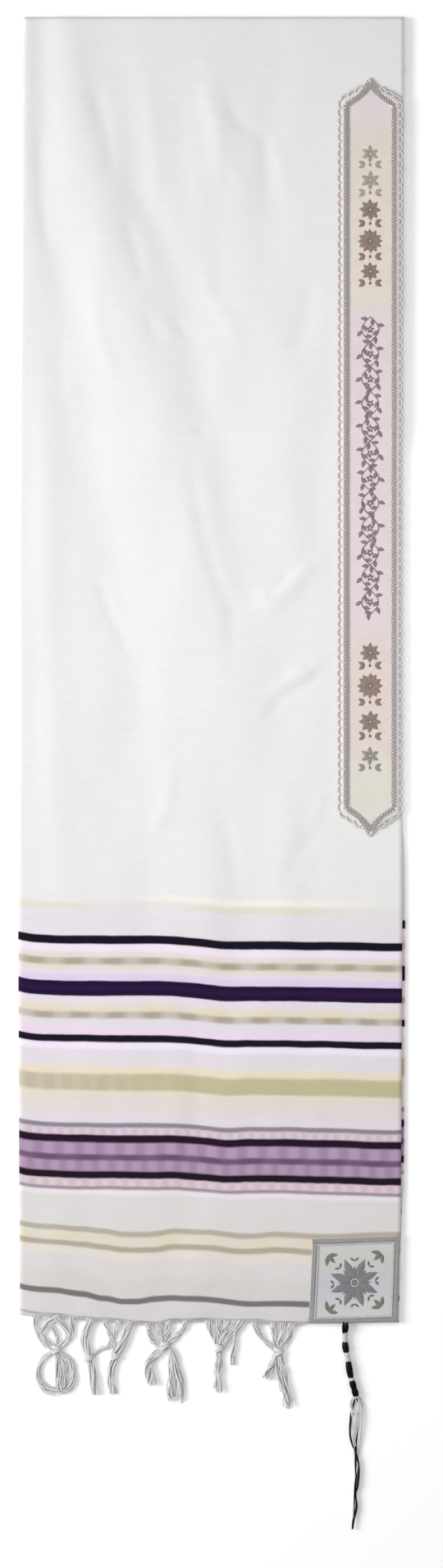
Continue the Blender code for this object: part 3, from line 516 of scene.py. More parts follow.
# Tints along the satins, by the distance from one end
BAND_TINTS = (
    (0.000, (220, 211, 212)), (0.045, (220, 211, 212)), (0.058, (219, 210, 201)), (0.235, (219, 210, 201)),
    (0.262, (219, 206, 209)), (0.580, (219, 206, 209)), (0.610, (219, 205, 199)), (0.705, (219, 205, 199)),
    (0.730, (217, 213, 203)),
)
BRAID_TINTS = ((0.0, (226, 220, 219)), (1.0, (220, 214, 212)))
PATCH_TINTS = (
    (0.000, (210, 206, 207)), (0.022, (201, 204, 196)), (0.046, (199, 199, 208)), (0.066, (205, 205, 205)),
    (0.086, (209, 211, 201)),
)

# Camera, light and floor
CENTRE = (0.0104, -0.0116)  # what the middle of the picture shows
PICTURE_HEIGHT = 1.6558
SENSOR = 36.0
LENS = 100.0
# Lights: name, place, x and y that it points at, size and power
LIGHTS = (
    ("left light", (-3.2, 0.10, 2.2), (0, 0.1), 2.2, 132.0),
    ("high light", (0.05, 0.20, 0.95), (0.05, 0.20), 0.9, 3.5),
)
FILL_LIGHT = 0.42
FLOOR_SIZE = 12.0
FLOOR_DEPTH = 0.0001
FLOOR_COLOUR = (248, 248, 248)
FLOOR_ROUGHNESS = 0.9
FLOOR_GLOW = 0.14  # painted light: the floor glows a little, which lightens the shadows cast on it


def smooth_step(low, high, value):
    """0 below low, 1 above high, with a smooth change between them."""
    share = np.clip((np.asarray(value, float) - low) / (high - low), 0, 1)
    return share * share * (3 - 2 * share)


def fold_height(x, drop, half_width, height, waypoints):
    """Height that one fold adds at a point, from its distance to the line through the waypoints."""
    line = np.array(waypoints)
    steps = np.diff(line, axis=0)
    lengths = np.hypot(steps[:, 0], steps[:, 1])
    starts = np.concatenate(([0], np.cumsum(lengths)))
    nearest = np.full(np.shape(x), np.inf)
    along = np.zeros(np.shape(x))
    for start, step, length, before in zip(line, steps, lengths, starts):
        share = np.clip(((x - start[0]) * step[0] + (drop - start[1]) * step[1]) / length**2, 0, 1)
        away = np.hypot(x - start[0] - share * step[0], drop - start[1] - share * step[1])
        along = np.where(away < nearest, (before + share * length) / starts[-1], along)
        nearest = np.minimum(away, nearest)
    ends = smooth_step(0, FOLD_ENDS, along) * smooth_step(0, FOLD_ENDS, 1 - along)
    return height * (FOLD_END_HEIGHT + (1 - FOLD_END_HEIGHT) * ends) * np.exp(-((nearest / half_width) ** 2))


def broad_fold(x, drop, waypoints):
    """Height that a main fold adds at a point. Its widths and height change from waypoint to waypoint."""
    nearest = np.full(np.shape(x), np.inf)
    height = np.zeros(np.shape(x))
    for start, end in zip(np.array(waypoints), np.array(waypoints[1:])):
        step = end[:2] - start[:2]
        share = np.clip(((x - start[0]) * step[0] + (drop - start[1]) * step[1]) / (step @ step), 0, 1)
        aside = x - start[0] - share * step[0]
        away = np.hypot(aside, drop - start[1] - share * step[1])
        leftness = (1 - aside / np.maximum(away, TINY)) / 2
        left, right, rise = (start[index] + share * (end[index] - start[index]) for index in (2, 3, 4))
        half = right + leftness * (left - right)
        height = np.where(away < nearest, rise * np.exp(-((away / half) ** 2)), height)
        nearest = np.minimum(away, nearest)
    return height


def layering(drop):
    """0 where the left edge shows two folds, one on the other, and 1 where it shows one."""
    in_corner = 1 - smooth_step(FOLD_REACH, CORNER_DROP, drop)
    return np.maximum(smooth_step(*STEP_DROP, drop), in_corner)


def fold_turn(apart):
    """Angle by which the upper fold of the left edge turns under, down to half the height."""
    return np.minimum(MOST_TURN, np.arcsin((1 - apart) / (1 + apart)))


def stack_height(x, drop):
    """Height of the front panel's outer face above the surface."""
    x, drop = np.broadcast_arrays(x, drop)
    height = STACK_FOUR + (STACK_TWO - STACK_FOUR) * smooth_step(*STEP_DROP, drop)
    creases = sum(fold_height(x, drop, *fold) for fold in FOLDS)
    creases = creases + sum(broad_fold(x, drop, fold) for fold in MAIN_FOLDS)
    for across, down, phase, rise in RIPPLES:
        creases = creases + rise * np.sin(2 * math.pi * (x / across + drop / down) + phase)
    return height + (1 - smooth_step(*FLAT_X, x)) * creases


def sag(x, drop):
    """How much lower the weave lies than its drop says."""
    x, drop = np.broadcast_arrays(np.asarray(x, float), np.asarray(drop, float))
    columns = np.interp(x, DIP_X, np.arange(len(DIP_X)))
    low = np.minimum(columns.astype(int), len(DIP_X) - 2)
    share = smooth_step(0, 1, columns - low)
    rows = np.interp(drop, DIP_DROPS, np.arange(len(DIP_DROPS)))
    row = np.minimum(rows.astype(int), len(DIP_DROPS) - 2)
    upper = DIPS[row, low] + share * (DIPS[row, low + 1] - DIPS[row, low])
    lower = DIPS[row + 1, low] + share * (DIPS[row + 1, low + 1] - DIPS[row + 1, low])
    dip = (upper + smooth_step(0, 1, rows - row) * (lower - upper)) * smooth_step(*SAG_DROP, drop)
    return dip + HEM_SAG * smooth_step(*SAG_DROP, drop) * smooth_step(*SAG_X, x)


def edge_x(drop):
    """Left and right x of the folded shawl at a drop."""
    return np.interp(drop, EDGES[:, 0], EDGES[:, 1]), np.interp(drop, EDGES[:, 0], EDGES[:, 2])


def place(x, drop, height):
    """A point in the part's frame."""
    return np.stack(np.broadcast_arrays(x, TOP_Y - drop - sag(x, drop), height), axis=-1)


def on_strip(x, drop, depth):
    """A point on the flat strip of the front panel, at a depth."""
    return place(x, drop, stack_height(np.full(np.shape(drop), NECKBAND_X), drop) - depth)


def past_hem(x, beyond, height):
    """Points past the hem."""
    x, beyond, height = np.broadcast_arrays(x, beyond, height)
    return np.stack((x, TOP_Y - HEM_DROP - sag(x, HEM_DROP) - beyond, height), axis=-1)


def panel_rows(spacing, angles):
    """Drop and turn of each row of the panel, round its top fold and then down to the hem."""
    count = round((HEM_DROP - FOLD_REACH) / spacing)
    drops = np.linspace(FOLD_REACH, HEM_DROP, count + 1)
    turns = np.concatenate((np.radians(angles), np.zeros(count + 1)))
    return np.concatenate((np.full(len(angles), FOLD_REACH), drops))[:, None], turns[:, None]


def panel_lattice(depth, spacing, angles, left_steps):
    """Points of the folded front panel at a depth, and their place in the cloth.

    Each row starts where the left fold ends underneath, turns up round it and runs to the right edge.
    """
    drop, turned = panel_rows(spacing, angles)
    left, right = edge_x(drop)
    shares = np.linspace(0, 1, round((EDGES[0, 2] - EDGES[0, 1]) / spacing) + 1)
    x = left + FOLD_REACH + shares * (right - left - FOLD_REACH)
    height = stack_height(x, drop)
    apart = layering(drop)
    centre = (0.75 - 0.25 * apart) * height[:, :1]  # of the upper fold, or of the single one
    radius = height[:, :1] - centre
    start = fold_turn(apart)
    turns = start - (start + math.pi / 2) * np.linspace(0, 1, left_steps + 1)[:-1]
    lip_x = left + FOLD_REACH - (FOLD_REACH - depth) * np.cos(turns)
    lip_height = centre - (radius - depth) * np.sin(turns)
    points = place(np.hstack((lip_x, x)), drop, np.hstack((lip_height, height - depth)))
    lift = EDGE_LIFT * np.exp(-(np.hstack((lip_x, x)) - left) / EDGE_LIFT_REACH)
    points[..., 1] = np.where(
        turned > 0, TOP_Y - FOLD_REACH + (FOLD_REACH - depth) * np.sin(turned), points[..., 1]
    )
    points[..., 2] *= np.cos(turned)
    across = np.hstack((-FOLD_REACH * (turns + math.pi / 2), x - left - FOLD_REACH))
    from_hem = HEM_DROP - drop + FOLD_REACH * turned - lift * smooth_step(*SAG_DROP, drop)
    return points, np.stack(np.broadcast_arrays(across, from_hem), axis=-1)


def hidden_top(spacing):
    """Upper face of the hidden layers, row by row, with their drops and turns."""
    angles = [angle for angle in TOP_ANGLES if angle <= INNER_TOP_ANGLE]
    tops, _ = panel_lattice(WALL + GAP, spacing, angles, LEFT_STEPS)
    inside = smooth_step(0, HIDDEN_DROP_REACH, tops[..., 0] - tops[:, :1, 0])
    inside = inside * smooth_step(0, HIDDEN_DROP_REACH, tops[:, -1:, 0] - tops[..., 0])
    tops[..., 2] -= HIDDEN_DROP * inside
    tops[-1, :, 1] += HIDDEN_HEM
    drops, turns = panel_rows(spacing, angles)
    return tops, drops[:, 0], turns[:, 0]


def hidden_section(top, drop, turned):
    """Outline of the hidden layers at one row, from their top round the right, bottom and left edges."""
    left, right = (float(edge) for edge in edge_x(drop))
    apart = float(layering(drop))
    stack = top[-1, 2]
    shifts = right + np.interp(drop, PEEK[:, 0], PEEK[:, 1]) + (1 - apart) * np.array(LAYER_SHIFT)
    notch = LAYER_NOTCH[0] + apart * (LAYER_NOTCH[1] - LAYER_NOTCH[0])
    swell = np.linspace(-1, 1, LAYER_STEPS)
    hollow = notch * (1 - np.sqrt(1 - np.minimum(swell**2, LAYER_ROUND)))
    right_x = np.concatenate([shift - hollow for shift in shifts])
    right_z = stack * (1 - np.arange(1, len(right_x) + 1) / (len(right_x) + 1))
    bottom_x = np.linspace(right - BOTTOM_INSET, left + 2 * FOLD_REACH, BOTTOM_STEPS)
    at_far_hem = abs(drop - FAR_HEM_DROP) < HIDDEN_LATTICE / 2
    bottom_z = np.full(BOTTOM_STEPS, FAR_HEM_GROOVE if at_far_hem else 0.0)
    # The left edge's lower fold, or the single one
    radius = (0.25 + 0.25 * apart) * float(stack_height(left + FOLD_REACH, drop))
    turn = float(fold_turn(apart))
    turns = np.linspace(math.pi / 2, -turn, LIP_STEPS)
    seam = radius * (1 + math.sin(turn))
    lip_x = left + FOLD_REACH - FOLD_REACH * np.cos(turns)
    lip_z = radius * (1 - np.sin(turns)) * (seam - GAP) / seam * math.cos(turned)
    x = np.concatenate((right_x, bottom_x, lip_x, [top[0, 0] + GAP]))
    z = np.concatenate((right_z, bottom_z, lip_z, lip_z[-1:]))
    y = np.interp(x, top[LEFT_STEPS:, 0], top[LEFT_STEPS:, 1])
    return np.concatenate((top, np.stack((x, y, z), axis=1)))


def curve_through(points, steps):
    """Points of a smooth curve through the given ones, as a Catmull-Rom spline."""
    points = np.array(points)
    padded = np.concatenate(([2 * points[0] - points[1]], points, [2 * points[-1] - points[-2]]))
    share = np.linspace(0, 1, steps, endpoint=False)[:, None]
    curve = []
    for before, start, end, after in zip(padded, padded[1:], padded[2:], padded[3:]):
        curve.append(
            0.5 * (2 * start + (end - before) * share
                   + (2 * before - 5 * start + 4 * end - after) * share**2
                   + (3 * start - before - 3 * end + after) * share**3)
        )
    return np.concatenate((*curve, points[-1:]))


def spaced(path, pitch, closed=False):
    """Points at an even pitch along a path of x and drop, and the path's direction there."""
    path = np.array(path)
    if closed:
        path = np.concatenate((path, path[:1]))
    steps = np.diff(path, axis=0)
    along = np.concatenate(([0], np.cumsum(np.hypot(steps[:, 0], steps[:, 1]))))
    count = max(2, round(along[-1] / pitch))
    marks = np.linspace(0, along[-1], count + 1)[: count if closed else count + 1]
    points = np.stack([np.interp(marks, along, path[:, axis]) for axis in (0, 1)], axis=1)
    segment = np.clip(np.searchsorted(along, marks, side="right") - 1, 0, len(steps) - 1)
    return points, np.arctan2(-steps[segment, 1], steps[segment, 0])


def colour(red, green, blue):
    """A colour as the eye sees it, from 0 to 255, made linear."""
    shares = np.array((red, green, blue)) / 255
    linear = np.where(shares <= 0.04045, shares / 12.92, ((shares + 0.055) / 1.055) ** 2.4)
    return (*linear.tolist(), 1.0)


FLOAT = "NodeSocketFloat"
VECTOR = "NodeSocketVector"
COLOUR = "NodeSocketColor"
WHOLE = "NodeSocketInt"
GEOMETRY = "NodeSocketGeometry"
OBJECT = "NodeSocketObject"
MATERIAL = "NodeSocketMaterial"


def new_group(kind, name, result, inputs):
    """A node tree with named inputs and one output, and the nodes' ends that they give and take."""
    tree = bpy.data.node_groups.new(name, kind)
    for label, (socket_type, value) in inputs.items():
        socket = tree.interface.new_socket(name=label, in_out="INPUT", socket_type=socket_type)
        if value is not None:
            socket.default_value = value
    tree.interface.new_socket(name=result[0], in_out="OUTPUT", socket_type=result[1])
    return tree, tree.nodes.new("NodeGroupInput").outputs, tree.nodes.new("NodeGroupOutput").inputs[0]


def add(tree, kind, inputs=None, output=0, **settings):
    """A new node's output. Each input is a value or another node's output."""
    node = tree.nodes.new(kind)
    for name, value in settings.items():
        setattr(node, name, value)
    for key, value in (inputs or {}).items():
        if isinstance(value, bpy.types.NodeSocket):
            tree.links.new(value, node.inputs[key])
        else:
            node.inputs[key].default_value = value
    return node.outputs[output]


def calc(tree, operation, first, second=0.0):
    """The result of a sum in a node tree."""
    return add(tree, "ShaderNodeMath", {0: first, 1: second}, operation=operation)


def shifted(tree, vector, **shift):
    """A vector moved along an axis by a node's output."""
    step = add(tree, "ShaderNodeCombineXYZ", shift)
    return add(tree, "ShaderNodeVectorMath", {0: vector, 1: step}, operation="ADD")


def split(tree, vector):
    """The x, y and z of a vector."""
    return add(tree, "ShaderNodeSeparateXYZ", {0: vector}).node.outputs


def mixed(tree, share, first, second):
    """The first colour with a share of the second one."""
    return add(tree, "ShaderNodeMix", {0: share, 6: first, 7: second}, 2, data_type="RGBA")


def grouped(tree, group, inputs, output=0):
    """The output of a group placed in a tree."""
    return add(tree, "ShaderNodeGroup", inputs, output, node_tree=group)


def stripe_group():
    """A woven stripe: 1 within its half width of its middle, 0 outside, weaker between its repeats."""
    tree, given, result = new_group("ShaderNodeTree", "woven stripe", ("Mask", FLOAT), {
        "Cloth": (VECTOR, None),
        "Middle": (FLOAT, 0.3),
        "Half Width": (FLOAT, 0.003),
        "Softness": (FLOAT, 0.001),
        "Repeats per Metre": (FLOAT, 0.0),
        "Least": (FLOAT, 1.0),
    })
    along, from_hem, _ = split(tree, given["Cloth"])
    mask = add(tree, "ShaderNodeMapRange", {
        "Value": calc(tree, "ABSOLUTE", calc(tree, "SUBTRACT", from_hem, given["Middle"])),
        "From Min": calc(tree, "SUBTRACT", given["Half Width"], given["Softness"]),
        "From Max": calc(tree, "ADD", given["Half Width"], given["Softness"]),
        "To Min": 1.0,
        "To Max": 0.0,
    }, interpolation_type="SMOOTHSTEP")
    phase = calc(tree, "MULTIPLY", along, given["Repeats per Metre"])
    phase = calc(tree, "ADD", phase, calc(tree, "MULTIPLY", given["Middle"], STRIPE_PHASE))
    wave = calc(tree, "SINE", calc(tree, "MULTIPLY", phase, 2 * math.pi))
    strength = add(tree, "ShaderNodeMapRange", {
        "Value": wave, "From Min": -1.0, "From Max": 0.8, "To Min": given["Least"], "To Max": 1.0,
    }, interpolation_type="SMOOTHSTEP")
    tree.links.new(calc(tree, "MULTIPLY", mask, strength), result)
    return tree


def weave_group():
    """A plain weave: the height of its threads, which pass over and under each other, a little uneven."""
    tree, given, result = new_group("ShaderNodeTree", "plain weave", ("Height", FLOAT), {
        "Cloth": (VECTOR, None),
        "Threads per Metre": (FLOAT, 1200.0),
        "Unevenness": (FLOAT, 0.5),
    })
    slubs = add(tree, "ShaderNodeTexNoise", {"Vector": given["Cloth"], "Scale": 420.0, "Detail": 3.0})
    bent = shifted(tree, given["Cloth"], X=calc(tree, "MULTIPLY", slubs, SLUB_SHIFT))
    rate = calc(tree, "MULTIPLY", given["Threads per Metre"], math.pi)
    across, down = (
        calc(tree, "SINE", calc(tree, "MULTIPLY", axis, rate)) for axis in split(tree, bent)[:2]
    )
    woven = calc(tree, "MULTIPLY", calc(tree, "MULTIPLY", across, down), 0.5)
    rough = calc(tree, "MULTIPLY", slubs, given["Unevenness"])
    tree.links.new(calc(tree, "ADD", woven, rough), result)
    return tree


def dye_group():
    """A colour that is a little lighter and darker from place to place."""
    tree, given, result = new_group("ShaderNodeTree", "uneven colour", ("Colour", COLOUR), {
        "Place": (VECTOR, None),
        "Colour": (COLOUR, None),
        "Scale": (FLOAT, 20.0),
        "Amount": (FLOAT, 0.1),
    })
    cloud = add(tree, "ShaderNodeTexNoise", {
        "Vector": given["Place"], "Scale": given["Scale"], "Detail": 4.0, "Roughness": 0.6,
    })
    shift = calc(tree, "MULTIPLY", calc(tree, "SUBTRACT", cloud, 0.5), given["Amount"])
    changed = add(tree, "ShaderNodeHueSaturation", {
        "Value": calc(tree, "ADD", shift, 1.0), "Color": given["Colour"],
    })
    tree.links.new(changed, result)
    return tree


def twist_group():
    """The ridges of a twisted yarn, from the place along and around it."""
    tree, given, result = new_group("ShaderNodeTree", "twisted yarn", ("Height", FLOAT), {
        "Twists per Metre": (FLOAT, 300.0),
        "Plies": (FLOAT, 2.0),
    })
    along = add(tree, "ShaderNodeAttribute", output=2, attribute_name="along")
    around = add(tree, "ShaderNodeAttribute", output=2, attribute_name="around")
    turns = calc(tree, "MULTIPLY", along, given["Twists per Metre"])
    phase = calc(tree, "MULTIPLY", calc(tree, "ADD", turns, around), given["Plies"])
    ridge = calc(tree, "ABSOLUTE", calc(tree, "SINE", calc(tree, "MULTIPLY", phase, math.pi)))
    tree.links.new(ridge, result)
    return tree


STRIPE = stripe_group()
WEAVE = weave_group()
DYE = dye_group()
TWIST = twist_group()


def new_material(name, roughness, sheen=0.0, gloss=0.3):
    """A material, its node tree and its shader, with the values that are the same all over."""
    material = bpy.data.materials.new(name)
    material.use_nodes = True
    shader = material.node_tree.nodes["Principled BSDF"]
    shader.inputs["Roughness"].default_value = roughness
    shader.inputs["Sheen Weight"].default_value = sheen
    shader.inputs["Sheen Roughness"].default_value = SHEEN_ROUGHNESS
    shader.inputs["Specular IOR Level"].default_value = gloss
    return material, material.node_tree, shader


def painted_groove_shade(tree, base, relief, contrast, least):
    """A colour with painted shade: darker where the relief is low."""
    value = calc(tree, "ADD", calc(tree, "MULTIPLY", relief, contrast), least)
    return add(tree, "ShaderNodeHueSaturation", {"Value": value, "Color": base})


def finish_surface(tree, shader, base, height, depth):
    """Gives a shader its colour, and a relief of the given depth."""
    tree.links.new(base, shader.inputs["Base Color"])
    normal = add(tree, "ShaderNodeBump", {"Strength": 1.0, "Distance": depth, "Height": height})
    tree.links.new(normal, shader.inputs["Normal"])


def woven_cloth():
    """White cloth with its woven stripes."""
    material, tree, shader = new_material("woven cloth", CLOTH_ROUGHNESS, sheen=0.07, gloss=0.12)
    cloth = add(tree, "ShaderNodeUVMap", uv_map="cloth")
    ripple = add(tree, "ShaderNodeTexNoise", {"Vector": cloth, "Scale": 26.0, "Detail": 2.0})
    ripple = calc(tree, "SUBTRACT", ripple, 0.5)
    cloth = shifted(tree, cloth, Y=calc(tree, "MULTIPLY", ripple, STRIPE_WANDER))
    weave = grouped(tree, WEAVE, {"Cloth": cloth, "Threads per Metre": 1500.0, "Unevenness": 0.8})
    cloth = shifted(tree, cloth, Y=calc(tree, "MULTIPLY", weave, STRIPE_TOOTH))
    base = colour(*CLOTH_COLOUR)
    metal = 0.0
    relief = weave
    for label, middle, half, soft, tint, repeat, least, share in STRIPES:
        mask = grouped(tree, STRIPE, {
            "Cloth": cloth,
            "Middle": middle,
            "Half Width": half,
            "Softness": soft,
            "Repeats per Metre": 1 / repeat if repeat else 0.0,
            "Least": least,
        })
        mask.node.label = label
        base = mixed(tree, mask, base, colour(*tint))
        if share:
            metal = calc(tree, "MAXIMUM", metal, calc(tree, "MULTIPLY", mask, share))
            relief = calc(tree, "ADD", relief, mask)
    streaks = add(tree, "ShaderNodeVectorMath", {0: cloth, 1: STREAKS}, operation="MULTIPLY")
    base = grouped(tree, DYE, {"Place": streaks, "Colour": base, "Scale": 150.0, "Amount": 0.07})
    # Painted shade where the weave's threads dip, along with the uneven threads' own tone
    base = painted_groove_shade(tree, base, weave, contrast=0.10, least=0.93)
    tree.links.new(calc(tree, "MULTIPLY", metal, GOLD_METAL), shader.inputs["Metallic"])
    smoothed = calc(tree, "MULTIPLY", metal, CLOTH_ROUGHNESS - GOLD_ROUGHNESS)
    tree.links.new(calc(tree, "SUBTRACT", CLOTH_ROUGHNESS, smoothed), shader.inputs["Roughness"])
    finish_surface(tree, shader, base, relief, WEAVE_RELIEF)
    return material


def satin_cloth(name, tints, threads, axis):
    """Smooth cloth whose tint changes along an axis of its UV map, with a fine weave."""
    material, tree, shader = new_material(name, SATIN_ROUGHNESS, sheen=0.25)
    cloth = add(tree, "ShaderNodeUVMap", uv_map="cloth")
    tint = add(tree, "ShaderNodeValToRGB", {0: split(tree, cloth)[axis]})
    stops = tint.node.color_ramp.elements
    while len(stops) < len(tints):
        stops.new(0.5)
    for stop, (position, shade) in zip(stops, tints):
        stop.position = position
        stop.color = colour(*shade)
    weave = grouped(tree, WEAVE, {"Cloth": cloth, "Threads per Metre": threads, "Unevenness": 0.4})
    base = grouped(tree, DYE, {"Place": cloth, "Colour": tint, "Scale": 60.0, "Amount": 0.16})
    # Painted shade where the satin's threads dip
    base = painted_groove_shade(tree, base, weave, contrast=0.14, least=0.92)
    finish_surface(tree, shader, base, weave, SATIN_RELIEF)
    return material


def thread_material(name, tint, stitches, roughness):
    """Embroidery thread that lies in fine parallel stitches across a motif."""
    material, tree, shader = new_material(name, roughness, sheen=0.15)
    along = split(tree, add(tree, "ShaderNodeUVMap", uv_map="cloth"))[0]
    ridge = calc(tree, "ABSOLUTE", calc(tree, "SINE", calc(tree, "MULTIPLY", along, stitches)))
    where = add(tree, "ShaderNodeTexCoord", output=3)
    base = grouped(tree, DYE, {"Place": where, "Colour": colour(*tint), "Scale": 260.0, "Amount": 0.5})
    # Painted shade between the stitches
    base = painted_groove_shade(tree, base, ridge, contrast=0.30, least=0.74)
    finish_surface(tree, shader, base, ridge, STITCH_RELIEF)
    return material


def yarn_material(name, tint, twists, sheen, depth):
    """Soft twisted yarn."""
    material, tree, shader = new_material(name, YARN_ROUGHNESS, sheen, gloss=0.1)
    ridge = grouped(tree, TWIST, {"Twists per Metre": twists, "Plies": 2.0})
    where = add(tree, "ShaderNodeTexCoord", output=3)
    fuzz = add(tree, "ShaderNodeTexNoise", {"Vector": where, "Scale": 2600.0, "Detail": 2.0})
    base = grouped(tree, DYE, {"Place": where, "Colour": colour(*tint), "Scale": 180.0, "Amount": 0.25})
    # Painted shade in the grooves of the twist
    base = painted_groove_shade(tree, base, ridge, contrast=0.14, least=0.88)
    finish_surface(tree, shader, base, calc(tree, "ADD", ridge, fuzz), depth)
    return material


def make_materials():
    """The finishes of all the pieces, by name."""
    made = {
        "cloth": woven_cloth(),
        "band": satin_cloth("neckband satin", BAND_TINTS, 1900.0, 1),
        "braid": satin_cloth("braid base", BRAID_TINTS, 1500.0, 0),
        "patch": satin_cloth("patch satin", PATCH_TINTS, 1600.0, 1),
    }
    for shade, look in THREADS.items():
        made[f"{shade} thread"] = thread_material(f"{shade} thread", *look)
    for use, look in YARNS.items():
        made[f"{use} yarn"] = yarn_material(f"{use} yarn", *look)
    return made


def grid_faces(rows, columns, start=0):
    """Quads of a lattice of points."""
    row, column = np.meshgrid(np.arange(rows - 1), np.arange(columns - 1), indexing="ij")
    first = (start + row * columns + column).ravel()
    return np.stack((first, first + columns, first + columns + 1, first + 1), axis=1)


def new_piece(name, points, faces, material=None, uv=None):
    """A smooth mesh object. uv has a row for each point, or for each corner of each face."""
    mesh = bpy.data.meshes.new(name)
    mesh.from_pydata(np.reshape(points, (-1, 3)).tolist(), [], np.asarray(faces).tolist())
    if material:
        mesh.materials.append(material)
    mesh.shade_smooth()
    if uv is not None:
        corners = np.empty(len(mesh.loops), int)
        mesh.loops.foreach_get("vertex_index", corners)
        spread = uv if len(uv) == len(corners) else uv[corners]
        mesh.uv_layers.new(name="cloth").data.foreach_set("uv", np.asarray(spread, float).ravel())
    obj = bpy.data.objects.new(name, mesh)
    bpy.context.scene.collection.objects.link(obj)
    return obj


def cloth_wall(name, upper, lower, uv, material):
    """A closed wall between an upper and a lower lattice, with its rim rounded."""
    rows, columns = upper.shape[:2]
    count = rows * columns
    rim = [(0, column) for column in range(columns)]
    rim += [(row, columns - 1) for row in range(1, rows)]
    rim += [(rows - 1, column) for column in range(columns - 2, -1, -1)]
    rim += [(row, 0) for row in range(rows - 2, 0, -1)]
    at = np.array(rim)
    inward = np.clip(at, 1, (rows - 2, columns - 2))
    edge = (upper[at[:, 0], at[:, 1]] + lower[at[:, 0], at[:, 1]]) / 2
    within = (upper[inward[:, 0], inward[:, 1]] + lower[inward[:, 0], inward[:, 1]]) / 2
    outward = edge - within
    outward /= np.maximum(np.linalg.norm(outward, axis=1), TINY)[:, None]
    edge = edge + outward * RIM_ROUNDING
    top = at[:, 0] * columns + at[:, 1]
    middle = 2 * count + np.arange(len(rim))
    sides = []
    for here, there in ((top, middle), (middle, top + count)):
        sides.append(np.stack((here, np.roll(here, -1), np.roll(there, -1), there), axis=1))
    faces = np.concatenate((grid_faces(rows, columns), grid_faces(rows, columns, count)[:, ::-1], *sides))
    flat_uv = uv.reshape(-1, 2)
    points = np.concatenate((upper.reshape(-1, 3), lower.reshape(-1, 3), edge))
    return new_piece(name, points, faces, material, np.concatenate((flat_uv, flat_uv, flat_uv[top])))


def make_front(material):
    """The front panel, with its left and top folds."""
    upper, uv = panel_lattice(0, LATTICE, TOP_ANGLES, LEFT_STEPS)
    lower, _ = panel_lattice(WALL, LATTICE, TOP_ANGLES, LEFT_STEPS)
    return cloth_wall("front_panel", upper, lower, uv, material)


def make_hidden(material):
    """The layers that are folded under, as one rounded form with layered edges."""
    tops, drops, turns = hidden_top(HIDDEN_LATTICE)
    sections = np.array([hidden_section(*row) for row in zip(tops, drops, turns)])
    rows, around = sections.shape[:2]
    row, point = np.meshgrid(np.arange(rows - 1), np.arange(around), indexing="ij")
    first = (row * around + point).ravel()
    after = (row * around + (point + 1) % around).ravel()
    faces = np.stack((first, first + around, after + around, after), axis=1)
    across = sections[..., 0] - sections[..., 0].min()
    skew = BACK_SKEW * across / across.max()
    near = np.stack((across, HEM_DROP - drops[:, None] - skew), axis=-1).reshape(-1, 2)
    far = np.stack((across, np.abs(FAR_HEM_DROP - drops)[:, None] + 0 * across), axis=-1).reshape(-1, 2)
    turned_back = (drops[row] < FAR_HEM_DROP) & (point >= tops.shape[1] + LAYER_STEPS)
    uv = np.where(np.repeat(turned_back.ravel(), 4)[:, None], far[faces.ravel()], near[faces.ravel()])
    obj = new_piece("hidden_layers", sections, faces, material, uv)
    close_ends(obj)
    return obj


def close_ends(obj):
    """Closes the open ends of a tube of cloth, with its faces pointing out."""
    shaped = bmesh.new()
    shaped.from_mesh(obj.data)
    open_edges = [edge for edge in shaped.edges if edge.is_boundary]
    made = bmesh.ops.holes_fill(shaped, edges=open_edges)
    bmesh.ops.triangulate(shaped, faces=made["faces"])
    bmesh.ops.recalc_face_normals(shaped, faces=shaped.faces)
    shaped.to_mesh(obj.data)
    shaped.free()


def band_half(drop, half, tips):
    """Half width of the neckband's outline at a drop."""
    from_tip = np.minimum(drop - tips[0], tips[1] - drop)
    return half * np.interp(from_tip, NECKBAND_END[:, 0], NECKBAND_END[:, 1])


def band_tips(inset):
    """Drops of the tips of the neckband's outline at an inset."""
    return NECKBAND_TIPS[0] + TRIM_TIP * inset, NECKBAND_TIPS[1] - TRIM_TIP * inset


def band_drops(tips):
    """Drops of the neckband's rows, close together at its pointed ends."""
    reach = NECKBAND_END[-1, 0]
    end = np.linspace(0, reach, BAND_END_ROWS)
    middle = np.linspace(tips[0] + reach, tips[1] - reach, BAND_ROWS)[1:-1]
    return np.concatenate((tips[0] + end, middle, (tips[1] - end)[::-1]))


def band_lattice(inset, depth):
    """Points across the neckband at a depth, row by row, and their place in it."""
    tips = band_tips(inset)
    drop = band_drops(tips)[:, None]
    side = np.linspace(-1, 1, BAND_COLUMNS)
    x = NECKBAND_X + side * band_half(drop, NECKBAND_HALF - inset, tips)
    points = on_strip(x, np.broadcast_to(drop, x.shape), depth)
    return points, np.stack((x - NECKBAND_X, np.broadcast_to(drop - tips[0], x.shape)), axis=-1)


def band_ring(inset):
    """Path of x and drop round the neckband at an inset, down its right side and up its left."""
    tips = band_tips(inset)
    drop = band_drops(tips)
    half = band_half(drop, NECKBAND_HALF - inset, tips)
    right = np.stack((NECKBAND_X + half, drop), axis=1)
    left = np.stack((NECKBAND_X - half, drop), axis=1)
    return np.concatenate((right, left[::-1]))


def ring_wall(name, rings, material, loop_spacing):
    """A closed ring through loops of points, which are a spacing apart in its UV map."""
    rings = np.array(rings)
    loops, around = rings.shape[:2]
    loop, point = np.meshgrid(np.arange(loops), np.arange(around), indexing="ij")
    here, there = (loop * around).ravel(), ((loop + 1) % loops * around).ravel()
    now, after = point.ravel(), ((point + 1) % around).ravel()
    faces = np.stack((here + now, here + after, there + after, there + now), axis=1)
    steps = np.linalg.norm(np.diff(rings[0], axis=0, append=rings[:1, 0]), axis=1)
    along = np.concatenate(([0], np.cumsum(steps)))
    u = np.stack((along[now], along[now + 1], along[now + 1], along[now]), axis=1)
    v = np.stack((loop.ravel(), loop.ravel(), loop.ravel() + 1, loop.ravel() + 1), axis=1) * loop_spacing
    uv = np.stack((u, v), axis=-1).reshape(-1, 2)
    return new_piece(name, rings, faces, material, uv)


